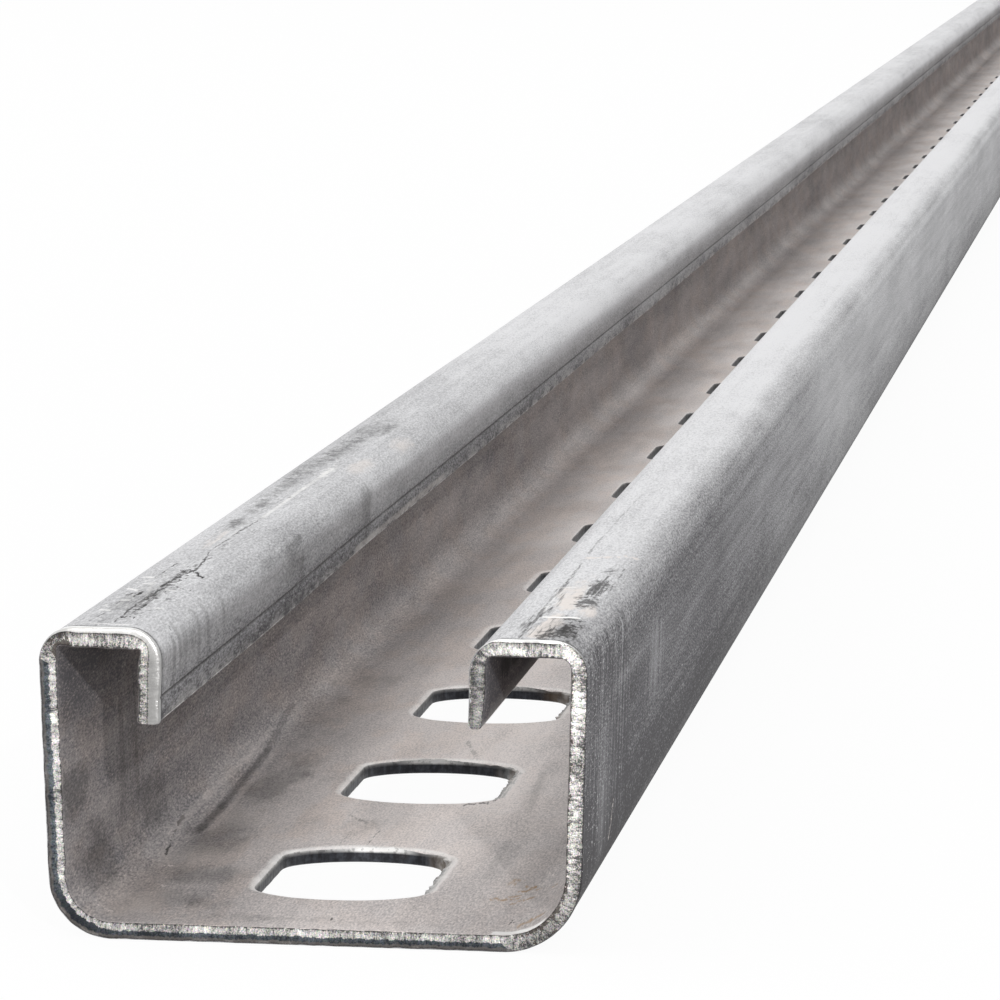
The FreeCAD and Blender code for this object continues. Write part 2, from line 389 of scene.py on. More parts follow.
class StripShape:
    """Where any point of the finished strip lies, with its burrs, rounding and lip drift."""

    def __init__(self, sizes):
        self.sizes = sizes
        self.legs = strip_legs(sizes)
        self.begins = []
        begun = 0.0
        for length, _ in self.legs:
            self.begins.append(begun)
            begun += length
        web_end = self.begins[WEB] + self.legs[WEB][0]
        self.web_keys = along_key(self.begins[WEB]), along_key(web_end)

    def leg_share(self, station):
        index = LEGS.index(station.leg)
        return (station.along - self.begins[index]) / self.legs[index][0]

    def tones(self, station):
        """How pale the outer and the inner face are."""
        share = self.leg_share(station)
        if station.leg in LEG_TONES_AND_SHADE:
            return [start + (end - start) * share for start, end in LEG_TONES_AND_SHADE[station.leg]]
        index = LEGS.index(station.leg)
        before = [side[1] for side in LEG_TONES_AND_SHADE[LEGS[index - 1]]]
        after = [side[0] for side in LEG_TONES_AND_SHADE[LEGS[index + 1]]]
        return blend(before, after, share)

    def web_tone(self, x):
        """How pale the inside of the web is at a place across it."""
        length, at = self.legs[WEB]
        start, end = LEG_TONES_AND_SHADE["web"][1]
        return start + (end - start) * (x - at(0.0)[0].x) / length

    def burr_look(self, station):
        """Height, start, brightness and inward swelling of the saw's burr."""
        return leg_value(BURR_LOOKS, station.leg, self.leg_share(station))

    def cut_look(self, station):
        """Reach of the bright band, torn share and brightness of the cut."""
        share = self.leg_share(station)
        usual = leg_value(CUT_LOOKS, station.leg, share)
        if station.leg not in BEND_CUT_LOOKS:
            return usual
        return blend(usual, BEND_CUT_LOOKS[station.leg], math.sin(math.pi * share) ** 0.6)

    def corner_pull(self, station):
        """How much nearer the outer face the inside of a tightly pressed corner lies."""
        if station.leg not in TIGHT_CORNERS:
            return 0.0
        index = LEGS.index(station.leg)
        sizes = self.sizes
        inside = sizes.flange_bend if "flange" in station.leg else sizes.lip_bend
        tight = TIGHT_CORNERS[station.leg] * MM
        turn = self.legs[index][0] / (inside + sizes.sheet_thickness / 2)
        half = turn / 2
        from_middle = abs(self.leg_share(station) * turn - half)
        touch = math.atan((inside - tight) * math.tan(half) / inside)
        if half - from_middle < touch:
            return inside / math.cos(half - from_middle) - inside
        centre = (inside - tight) / math.cos(half)
        reach = centre * math.cos(from_middle)
        reach += math.sqrt(max(0.0, tight ** 2 - (centre * math.sin(from_middle)) ** 2))
        return reach - inside

    def tip_inset(self, station):
        radius = self.sizes.tip_round
        if station.from_tip >= radius:
            return 0.0
        return radius - math.sqrt(max(0.0, radius ** 2 - (radius - station.from_tip) ** 2))

    def cut_inset(self, from_end, roughness):
        """Rounding of a sawn edge, a little uneven along it."""
        reach = self.sizes.cut_round * (1.0 + roughness)
        if from_end >= 2 * reach:
            return 0.0
        return reach * (1 - from_end / (2 * reach)) ** 2

    def burr(self, station, from_end, y):
        """How far the cut's outer and inner edges stand off the strip."""
        look = self.burr_look(station)
        height = self.sizes.burr_height
        if y > 0:
            height *= FAR_BURR
        ripple = noise.noise(Vector((station.along * 900, y * 3, 1.7)))
        height *= 1.0 + 0.3 * ripple
        root = BURR_ROOT * (1.0 + 0.4 * noise.noise(Vector((station.along * 500, 4.1, y))))
        height *= 1 - smooth_step(root * 0.55, root * 1.5, from_end)
        return height * look[0], height * look[3]

    def lip_drift(self, y):
        """The left lip grows shallower away from the near end, as its edge wanders."""
        from_near = y - LOW.y
        drift = LIP_DRIFT * smooth_step(*LIP_DRIFT_SPAN, from_near)
        return drift + LIP_WANDER * noise.noise(Vector((from_near * 11, 2.3, 0.4)))

    def crease(self, station):
        """1 at the bottom of the crease along the left lip, 0 everywhere else."""
        if station.leg != "left_lip":
            return 0.0
        return 1.0 if abs(station.along - CREASE_PLACES[1]) < 0.01 * MM else 0.0

    def place(self, station, across, y, relief=0.0):
        """The point a share across the strip at a station, from inner (0) to outer face (1)."""
        sizes = self.sizes
        from_end = min(y - LOW.y, HIGH.y - y)
        high, low = 0.0, self.corner_pull(station) - sizes.sheet_thickness
        inset = self.tip_inset(station)
        if from_end < CUT_REACH:
            rough = noise.noise(Vector((station.along * 1400, y, 7.7)))
            inset_cut = self.cut_inset(from_end, rough)
            outer_burr, inner_burr = self.burr(station, from_end, y)
            high += outer_burr - inset_cut
            low += inset_cut * 0.7 - inner_burr
        high -= inset + CREASE_DEPTH * self.crease(station)
        low += inset
        if station.leg == "right_lip":
            low += WORN_DEPTH * smooth_step(0.0, 1.0, 1 - station.from_tip / WORN_REACH)
        offset = low + (high - low) * across
        point = station.point + station.normal * offset
        x, z = point.x, point.y
        if station.leg == "left_lip":
            share = 1 - station.along / self.legs[0][0]
            z += self.lip_drift(y) * share
        return Vector((x, y + relief, z))


class MeshPile:
    """Points with their painted values, and faces with their finish, on the way to a mesh."""

    VALUES = ("across", "along", "tone", "rim", "reach", "torn", "dark", "band", "shine",
              "burr", "crease")

    def __init__(self):
        self.points = []
        self.values = {name: [] for name in self.VALUES}
        self.faces = []
        self.finishes = []

    def point(self, place, **values):
        self.points.append(place)
        for name in self.VALUES:
            self.values[name].append(values.get(name, 0.0))
        return len(self.points) - 1

    def face(self, corners, finish):
        trimmed = [c for i, c in enumerate(corners) if c != corners[i - 1]]
        if len(trimmed) > 2:
            first = self.points[trimmed[0]]
            if finish in MARKED and first.y < LOW.y + MARKED_LENGTH:
                finish = MARKED[finish][first.x > 0]
            self.faces.append(trimmed)
            self.finishes.append(finish)

    def bridge(self, first, second, finish):
        """Fill between two lines of points whose counts divide evenly."""
        if len(first) < len(second):
            first, second = second[::-1], first[::-1]
        share = (len(first) - 1) // (len(second) - 1)
        for index in range(len(second) - 1):
            many = first[index * share:(index + 1) * share + 1]
            self.face(many + [second[index + 1], second[index]], finish)

    def make_object(self, name, materials):
        mesh = bpy.data.meshes.new(name)
        mesh.from_pydata([tuple(p) for p in self.points], [], self.faces)
        for material in materials:
            mesh.materials.append(material)
        mesh.polygons.foreach_set("material_index", self.finishes)
        for value_name, numbers in self.values.items():
            attribute = mesh.attributes.new(value_name, "FLOAT", "POINT")
            attribute.data.foreach_set("value", numbers)
        work = bmesh.new()
        work.from_mesh(mesh)
        bmesh.ops.recalc_face_normals(work, faces=work.faces)
        work.to_mesh(mesh)
        work.free()
        mesh.shade_smooth()
        mesh.set_sharp_from_angle(angle=SHARP_ANGLE)
        mesh.validate()
        piece = bpy.data.objects.new(name, mesh)
        bpy.context.scene.collection.objects.link(piece)
        return piece


class SkinRow:
    """One row of points round the strip, on the outer and the inner face."""

    def __init__(self, pile, shape, stations, y, level, with_web):
        self.y = y
        self.level = level
        self.outer = {}
        self.inner = {}
        self.keys = []
        web_first, web_last = shape.web_keys
        for station in stations[level]:
            if web_first < station.key < web_last and not with_web:
                continue
            tones = shape.tones(station)
            reach, torn, _, dark = shape.cut_look(station)
            burr, band, shine, _ = shape.burr_look(station)
            tip = 1 - smooth_step(*TIP_RUB, station.from_tip)
            self.keys.append(station.key)
            for side, across, tone in ((self.outer, 1.0, tones[0]), (self.inner, 0.0, tones[1])):
                side[station.key] = pile.point(
                    shape.place(station, across, y), across=across, along=station.along,
                    tone=tone, crease=shape.crease(station) * across, rim=tip,
                    reach=reach, torn=torn, dark=dark, band=band, shine=shine,
                    burr=smooth_step(0.15, 0.3, burr))


def between(row_side, keys, first, last):
    """Points of a row from one station to another, both included."""
    return [row_side[key] for key in keys if first <= key <= last]


def join_skins(pile, near, far, first, last):
    """Faces of both skins between two rows, from one station to another."""
    for side, finish in (("outer", OUTSIDE), ("inner", INSIDE)):
        a = between(getattr(near, side), near.keys, first, last)
        b = between(getattr(far, side), far.keys, first, last)
        pile.face(a + b[::-1], finish)


def skin_between(pile, shape, stations, near, far, with_web):
    """Faces of both skins and the two slit edges between neighbouring rows."""
    level = min(near.level, far.level)
    web_first, web_last = shape.web_keys
    keys = [station.key for station in stations[level]]
    for first, last in zip(keys, keys[1:]):
        if not with_web and first >= web_first and last <= web_last:
            continue
        join_skins(pile, near, far, first, last)
    for key in (keys[0], keys[-1]):
        pile.face([near.outer[key], near.inner[key], far.inner[key], far.outer[key]], SHEARED)


def sawn_end(pile, shape, stations, row, outward):
    """The sawn face: points across the strip at every fine station, with the saw's relief."""
    columns = []
    for station in stations[FINE]:
        column = [row.inner[station.key]]
        reach, torn_share, bright, dark = shape.cut_look(station)
        _, band, shine, _ = shape.burr_look(station)
        for across in CUT_SHARES[1:-1]:
            coarse = noise.noise(Vector((station.along * 700, across * 1.5, 3.1 * outward)))
            ribs = noise.noise(Vector((station.along * 2600, across * 0.8, 9.4)))
            torn = noise.noise(Vector((station.along * 2200, across * 5.0, 5.5)))
            relief = 0.02 * coarse + 0.03 * ribs + 0.02 * torn
            relief -= 0.07 * smooth_step(min(reach, 0.9), 1.0, across)
            relief += 0.07 * smooth_step(band - 0.1, band + 0.15, across)
            place = shape.place(station, across, row.y, relief * MM * outward)
            column.append(pile.point(
                place, across=across, along=station.along,
                tone=bright, dark=dark, reach=reach, torn=torn_share, band=band, shine=shine))
        column.append(row.outer[station.key])
        columns.append(column)
    for near, far in zip(columns, columns[1:]):
        for index in range(len(CUT_SHARES) - 1):
            pile.face([near[index], near[index + 1], far[index + 1], far[index]], SAWN)
    return columns


def slot_edge(distance, radius, half_straight):
    """Point and outward direction at a distance round a slot, from the middle of its near end."""
    quarter = radius * math.pi / 2
    straight = 2 * half_straight
    angle = -math.pi / 2
    for end, arc, line in ((-1, quarter, straight), (1, 2 * quarter, straight), (-1, quarter, 0.0)):
        turned = min(distance, arc)
        normal = Vector((math.cos(angle + turned / radius), math.sin(angle + turned / radius)))
        if distance <= arc + line:
            along = distance - turned
            return Vector((0.0, end * (half_straight - along))) + normal * radius, normal
        distance -= arc + line
        angle += arc / radius
    return slot_edge(0.0, radius, half_straight)


def slot_outline(sizes, counts):
    """Points and outward directions round a slot, in four runs that face the cell's sides."""
    radius = sizes.slot_width / 2
    half_straight = sizes.slot_length / 2 - radius
    quarter = radius * math.pi / 2
    around = 4 * (quarter + half_straight)
    points = []
    begun = quarter / 2
    for index, count in enumerate(counts):
        run = quarter if index % 2 else quarter + 2 * half_straight
        for step in range(count):
            distance = (begun + run * step / count) % around
            points.append(slot_edge(distance, radius, half_straight))
        begun += run
    return points


# Rings round a slot from the underside up to the web: how far outside the slot's edge and how
# far below the top of the web, in millimetres, and how rubbed the metal is. Above the ring at the
# top of the wall the metal is rolled over into the web. BURR_SPREAD is how wide a slot's burr is.
NEAR_RINGS = (
    (0.14, 1.25, 0.0), (0.02, 1.17, 0.0), (0.0, 0.85, 0.0), (0.0, 0.5, 0.0),
    (0.0, 0.26, 0.35), (0.06, 0.13, 0.9), (0.25, 0.045, 0.8), (0.46, 0.01, 0.6), (0.72, 0.0, 0.0),
)
FAR_RINGS = (
    (0.1, 1.25, 0.0), (0.0, 1.15, 0.0), (0.0, 0.24, 0.3), (0.12, 0.08, 1.0), (0.45, 0.0, 0.2),
)
WALL_TOP_RING = {len(NEAR_RINGS): 4, len(FAR_RINGS): 2}
BURR_SPREAD = 2.6 * MM
# Points wanted along the right, far, left and near part of a slot's edge.
NEAR_COUNTS = (40, 24, 40, 24)
FAR_COUNTS = (18, 12, 18, 12)


def punched_slot(pile, shape, number, centre_y, sides):
    """Rings of one slot, from its underside to its roll-over, filled out to the cell's sides.

    sides holds the cell's right, far, left and near sides, on the inner and on the outer face.
    """
    sizes = shape.sizes
    near = number < NEAR_CELLS
    rings = NEAR_RINGS if near else FAR_RINGS
    dimmer = 1 + 0.25 * min(number, 3)
    counts = []
    for side, want in zip(sides["inner"], NEAR_COUNTS if near else FAR_COUNTS):
        steps = len(side) - 1
        counts.append(steps if steps > want and steps % want else max(want, 1))
    outline = slot_outline(sizes, counts)
    wall_top = WALL_TOP_RING[len(rings)]
    loops = []
    for ring_index, (out, below, rim) in enumerate(rings):
        loop = []
        for point, normal in outline:
            seed = Vector((point.x * 900 + number * 7.3, point.y * 900, number * 3.1))
            wobble = noise.noise(seed * 0.6)
            ragged = noise.noise(seed * 1.9 + Vector((0, 0, ring_index * 0.7)))
            # The far side has a burr in its middle and is broken off towards the right, and the
            # right side is torn inwards.
            far_side = smooth_step(0.45, 0.95, normal.y)
            right = smooth_step(-0.35, 0.45, normal.x)
            near_right = right * (1 - smooth_step(0.35, 0.8, normal.y))
            fractured = far_side * smooth_step(2.4 * MM, 4.0 * MM, point.x)
            burr_x = (0.6 - 2.1 * (number % 2)) * MM
            burred = far_side * math.exp(-((point.x - burr_x) / BURR_SPREAD) ** 2)
            ring_out, ring_below, ring_rim = out * (1 + 0.35 * wobble), below, rim
            if ring_index > wall_top:
                ring_out *= 1 + 0.7 * far_side
            if wall_top <= ring_index <= wall_top + 1:
                ring_below *= 1 + 0.5 * far_side
                ring_below -= burred * (0.16 + 0.14 * ragged)
                ring_below += fractured * max(0.0, 0.12 + 0.2 * ragged)
                ring_out += 0.12 * fractured * ragged
                ring_rim = max(ring_rim, 1.9 * burred) * (1 - 0.9 * fractured)
            if ring_index <= wall_top:
                inner_share = 1 - ring_index / (wall_top + 1)
                ring_out -= near_right * (0.16 + 0.5 * max(0.0, ragged) + 0.2 * inner_share)
                ring_rim = max(ring_rim, near_right * (0.45 + 0.9 * ragged))
            elif ring_index == wall_top + 1:
                ring_below += 0.3 * near_right * max(0.0, ragged)
            if 0 < ring_index < wall_top:
                ring_out += 0.03 * noise.noise(seed * 0.9 + Vector((0, 0, ring_index * 2.0)))
            place = point + normal * ring_out * MM
            z = sizes.sheet_thickness - ring_below * MM
            loop.append(pile.point(
                Vector((place.x, centre_y + place.y, max(z, 0.0))),
                across=1 - min(1.0, ring_below * MM / sizes.sheet_thickness),
                tone=shape.web_tone(place.x),
                rim=ring_rim * (0.8 + 0.4 * wobble) / dimmer))
        loops.append(loop + loop[:1])
    for ring_index, (low, high) in enumerate(zip(loops, loops[1:])):
        pile.bridge(low, high, INSIDE if ring_index > wall_top else SHEARED)
    for side_name, loop, finish in (("inner", loops[-1], INSIDE), ("outer", loops[0], OUTSIDE)):
        begun = 0
        for side, count in zip(sides[side_name], counts):
            pile.bridge(side, loop[begun:begun + count + 1], finish)
            begun += count


def cell_borders(sizes):
    """Where the web's cells, one round each slot, begin and end along the channel."""
    length = HIGH.y - LOW.y
    count = math.floor((length - sizes.first_slot - sizes.slot_length / 2) / sizes.slot_pitch) + 1
    centres = [LOW.y + sizes.first_slot + sizes.slot_pitch * number for number in range(count)]
    borders = [LOW.y + END_ROWS[-1] * MM]
    borders += [(a + b) / 2 for a, b in zip(centres, centres[1:])]
    borders.append(HIGH.y - END_ROWS[-1] * MM)
    return centres, borders


def rolled_channel(sizes, materials):
    """The whole channel as one closed mesh."""
    pile = MeshPile()
    shape = StripShape(sizes)
    stations = [strip_stations(sizes, level) for level in (COARSE, MEDIUM, FINE)]
    centres, borders = cell_borders(sizes)
    web_first, web_last = shape.web_keys

    def row(y, level, with_web=True):
        return SkinRow(pile, shape, stations, y, level, with_web)

    near_rows = [row(LOW.y + step * MM, FINE) for step in END_ROWS]
    far_rows = [row(HIGH.y - step * MM, FINE) for step in reversed(END_ROWS)]
    for rows in (near_rows[1:], far_rows[:-1]):
        for first, second in zip(rows, rows[1:]):
            skin_between(pile, shape, stations, first, second, True)

    for cut_row, next_row, outward in ((near_rows[0], near_rows[1], -1.0),
                                       (far_rows[-1], far_rows[-2], 1.0)):
        columns = sawn_end(pile, shape, stations, cut_row, outward)
        keys = cut_row.keys
        for first, last in zip(keys, keys[1:]):
            join_skins(pile, cut_row, next_row, first, last)
        for key, column in ((keys[0], columns[0]), (keys[-1], columns[-1])):
            pile.face(column + [next_row.outer[key], next_row.inner[key]], SHEARED)

    before = near_rows[-1]
    for number, centre in enumerate(centres):
        near = number < NEAR_CELLS
        steps = NEAR_CELL_ROWS if near else FAR_CELL_ROWS
        level = MEDIUM if near else COARSE
        start, end = borders[number], borders[number + 1]
        rows = [before]
        for step in range(1, steps):
            rows.append(row(start + (end - start) * step / steps, level, with_web=False))
        rows.append(far_rows[0] if number == len(centres) - 1 else row(end, level))
        for first, second in zip(rows, rows[1:]):
            skin_between(pile, shape, stations, first, second, False)
        sides = {}
        for side in ("inner", "outer"):
            lines = [getattr(r, side) for r in rows]
            sides[side] = [
                [line[web_last] for line in lines],
                between(lines[-1], rows[-1].keys, web_first, web_last)[::-1],
                [line[web_first] for line in lines][::-1],
                between(lines[0], rows[0].keys, web_first, web_last),
            ]
        punched_slot(pile, shape, number, centre, sides)
        before = rows[-1]
    return pile.make_object("rolled_channel", materials)


class Bench:
    """Short calls for placing and joining nodes in one tree."""

    def __init__(self, tree):
        self.tree = tree

    def feed(self, socket, value):
        if isinstance(value, bpy.types.NodeSocket):
            self.tree.links.new(value, socket)
        elif socket.type == "RGBA":
            socket.default_value = tuple(value)[:3] + (1.0,)
        else:
            socket.default_value = value

    def node(self, kind, inputs=None, **settings):
        made = self.tree.nodes.new(kind)
        for name, value in settings.items():
            setattr(made, name, value)
        for name, value in (inputs or {}).items():
            self.feed(made.inputs[name], value)
        return made

    def math(self, operation, *values, clamp=False):
        made = self.node("ShaderNodeMath", operation=operation, use_clamp=clamp)
        for index, value in enumerate(values):
            self.feed(made.inputs[index], value)
        return made.outputs[0]

    def chain(self, operation, values, clamp):
        """One result of several values, taken in one after another."""
        result, *others, last = values
        for value in others:
            result = self.math(operation, result, value)
        return self.math(operation, result, last, clamp=clamp)

    def plus(self, *values, clamp=False):
        return self.chain("ADD", values, clamp)

    def times(self, *values, clamp=False):
        return self.chain("MULTIPLY", values, clamp)

    def minus(self, first, second):
        return self.math("SUBTRACT", first, second)

    def swing(self, value, amount, middle=0.5):
        """How far a value lies above its middle, times an amount."""
        return self.times(self.minus(value, middle), amount)

    def vector_math(self, operation, *values):
        made = self.node("ShaderNodeVectorMath", operation=operation)
        for index, value in enumerate(values):
            self.feed(made.inputs[index], value)
        return made.outputs["Value" if operation in ("LENGTH", "DOT_PRODUCT") else "Vector"]

    def stretched(self, vector, stretch):
        return self.vector_math("MULTIPLY", vector, stretch)

    def ramp(self, value, low, high, to_low=0.0, to_high=1.0):
        made = self.node("ShaderNodeMapRange", interpolation_type="SMOOTHSTEP")
        for name, part in (("Value", value), ("From Min", low), ("From Max", high),
                           ("To Min", to_low), ("To Max", to_high)):
            self.feed(made.inputs[name], part)
        return made.outputs[0]

    def mix(self, factor, first, second, way="MIX"):
        """Two colours mixed. A mix node takes them at sockets 6 and 7 and gives them at 2."""
        made = self.node("ShaderNodeMix", data_type="RGBA", blend_type=way)
        self.feed(made.inputs["Factor"], factor)
        self.feed(made.inputs[6], first)
        self.feed(made.inputs[7], second)
        return made.outputs[2]

    def noises(self, vector, scale, detail, roughness):
        """A noise as a value and as a colour."""
        return self.node("ShaderNodeTexNoise", {
            "Vector": vector, "Scale": scale, "Detail": detail, "Roughness": roughness}).outputs

    def noise(self, vector, scale, detail=2.0, roughness=0.5, stretch=None):
        if stretch:
            vector = self.stretched(vector, stretch)
        return self.noises(vector, scale, detail, roughness)[0]

    def axes(self, vector):
        return self.node("ShaderNodeSeparateXYZ", {"Vector": vector}).outputs

    def group(self, group, **inputs):
        made = self.node("ShaderNodeGroup")
        made.node_tree = group
        for name, value in inputs.items():
            self.feed(made.inputs[name.replace("_", " ").title()], value)
        return made.outputs

    def painted(self, name):
        return self.node("ShaderNodeAttribute", attribute_name=name).outputs["Fac"]


def new_group(name, vectors, numbers, results):
    """An empty node group with its named sockets, and the bench and ends to build it with."""
    tree = bpy.data.node_groups.new(name, "ShaderNodeTree")

    def socket(socket_name, direction, kind):
        return tree.interface.new_socket(
            name=socket_name, in_out=direction, socket_type="NodeSocket" + kind)

    for socket_name in vectors:
        socket(socket_name, "INPUT", "Vector")
    for socket_name, default in numbers.items():
        socket(socket_name, "INPUT", "Float").default_value = default
    for socket_name in results:
        socket(socket_name, "OUTPUT", "Color" if socket_name == "Tint" else "Float")
    bench = Bench(tree)
    return tree, bench, bench.node("NodeGroupInput").outputs, bench.node("NodeGroupOutput").inputs


# Marks of the near end. A stroke has its colour, its strength and its places, with the half width
# of each stretch between them. A patch has its middle, half sizes, grain, cover, softness, colour
# and strength. Places and sizes are in millimetres: across the channel from its middle, from the
# near end, and up from the underside where that isn't the height of the flanges or the web.
FLANGE_HEIGHT = 23.3
WEB_HEIGHT = 1.25
# Strokes are drawn with the channel's length squeezed to this share, so that a half width counts
# across the channel and one that runs across is as much broader along it.
LENGTHWAYS = 0.14
OUTSIDE_STROKES = (
    ("grime", 0.78, (-15.6, 5.3), 0.1, (-15.8, 19.0), 0.14, (-15.5, 26.3), 0.1, (-15.8, 33.8), 0.17,
     (-15.5, 42.7), 0.12, (-14.9, 45.7), 0.13, (-15.3, 55.3)),
    ("grime", 0.7, (-15.3, 55.3), 0.09, (-15.9, 63.2)),
    ("grime", 0.66, (-15.9, 63.2), 0.11, (-15.7, 81.9)),
    ("grime", 0.62, (-15.7, 81.9), 0.12, (-15.4, 95.7)),
    ("grime", 1.0, (-16.7, 23.9), 0.17, (-16.6, 27.6)),
    ("grime", 0.8, (-17.4, 25.2), 0.16, (-17.1, 26.3)),
    ("grime", 0.9, (-16.1, 45.9), 0.07, (-14.9, 45.6), 0.1, (-14.2, 42.5)),
    ("grime", 1.0, (-14.2, 42.5), 0.09, (-13.5, 40.9)),
    ("grime", 0.8, (-13.5, 31.2, 23.2), 0.05, (-12.7, 31.0, 23.0)),
    ("grime", 1.0, (-15.5, 8.8), 0.09, (-14.6, 8.1)),
    ("grime", 0.8, (-15.2, 12.6), 0.1, (-15.0, 18.0)),
    ("grime", 0.7, (-15.4, 14.2), 0.06, (-14.5, 13.6)),
    ("grime", 0.7, (-15.2, 24.0), 0.05, (-14.0, 23.0)),
    ("grime", 0.7, (-15.0, 28.5), 0.06, (-13.8, 28.0)),
    ("grime", 0.8, (-14.6, 33.0), 0.08, (-13.9, 31.5)),
    ("grime", 0.8, (-17.2, 38.3), 0.06, (-17.1, 53.6)),
    ("grime", 0.6, (-17.4, 15.3), 0.07, (-17.3, 20.5)),
    ("grime", 0.6, (-17.5, 5.7), 0.09, (-17.2, 11.3)),
    ("bare_bright", 0.4, (-15.4, 96.0), 0.2, (-15.4, 126.0)),
    ("bare_bright", 0.3, (-15.4, 126.0), 0.24, (-15.3, 146.0)),
    ("grime", 0.6, (-15.9, 113.0), 0.12, (-15.5, 116.3)),
    # Painted highlight: a pale band along the left lip's strip further in.
    ("cream", 0.3, (-11.5, 135.0, 17.1), 0.28, (-11.5, 215.0, 17.2)),
    ("bare_bright", 0.5, (-17.9, 13.4), 0.08, (-17.1, 13.2)),
    ("bare_bright", 0.45, (-17.4, 21.0), 0.08, (-16.7, 21.2)),
    ("bare_bright", 0.5, (-18.2, 30.5), 0.09, (-17.2, 29.0)),
    ("bare_bright", 0.5, (-18.2, 39.9), 0.09, (-17.3, 39.3)),
    ("bare_bright", 0.45, (-17.5, 34.3), 0.08, (-16.6, 35.2)),
    ("bare_bright", 0.45, (-14.1, 15.9), 0.06, (-13.4, 16.2, 23.2)),
    ("bare_bright", 0.45, (-15.1, 30.0), 0.06, (-14.3, 29.4)),
    ("bare_bright", 0.45, (-17.2, 3.4), 0.05, (-14.0, 3.0)),
    ("grime", 0.7, (-12.1, 9.9, 22.5), 0.035, (-11.6, 10.6, 21.6), 0.035, (-11.5, 11.2, 20.6)),
    ("grime", 0.35, (-11.8, 91.6, 22.2), 0.24, (-11.5, 91.8, 18.2)),
    ("grime", 0.65, (15.1, 2.8), 0.14, (15.1, 12.4), 0.12, (15.3, 18.6)),
    ("grime", 0.6, (15.3, 18.6), 0.1, (15.7, 26.9)),
    ("grime", 0.6, (15.0, 20.0), 0.1, (15.1, 45.0), 0.09, (15.0, 62.0)),
    ("grime", 0.5, (14.8, 71.3), 0.1, (14.8, 86.2)),
    ("grime", 0.35, (14.8, 90.0), 0.08, (15.0, 130.0)),
    ("bare_bright", 0.4, (15.3, 22.0), 0.07, (15.2, 36.0)),
    ("bare_bright", 0.4, (14.9, 24.0), 0.05, (15.7, 29.0)),
    ("bare_bright", 1.0, (15.6, 17.9), 0.07, (18.4, 18.2)),
    ("bare_bright", 0.4, (14.4, 40.3), 0.06, (16.1, 42.0)),
    ("cream", 0.7, (14.9, 66.7), 0.13, (19.0, 69.9, 23.1)),
    ("grime", 0.6, (18.9, 38.0, 23.1), 0.06, (18.7, 66.0, 23.2)),
    ("grime", 0.5, (18.5, 36.0, 23.2), 0.05, (18.3, 60.0, 23.2)),
    ("bare_bright", 0.25, (19.3, 46.0, 22.9), 0.03, (20.2, 38.0, 21.8)),
    ("bare_bright", 0.25, (18.9, 36.0, 23.1), 0.03, (19.9, 27.0, 22.4)),
    ("bare_bright", 0.25, (18.6, 25.0, 23.2), 0.03, (19.7, 17.0, 22.6)),
    ("grime", 0.4, (20.4, 85.3, 10.0), 0.14, (20.4, 67.1, 11.1)),
    ("grime", 0.5, (20.4, 67.1, 11.1), 0.14, (20.4, 55.5, 9.3)),
    ("grime", 0.4, (20.4, 55.5, 9.3), 0.12, (20.4, 44.6, 8.4)),
    ("grime", 0.5, (20.5, 44.0, 17.2), 0.16, (20.4, 46.0, 14.0)),
    ("grime", 0.35, (20.5, 51.0, 16.4), 0.12, (20.4, 48.0, 11.0)),
    ("cream", 0.5, (20.4, 29.7, 8.0), 0.06, (20.4, 24.0, 4.0)),
)
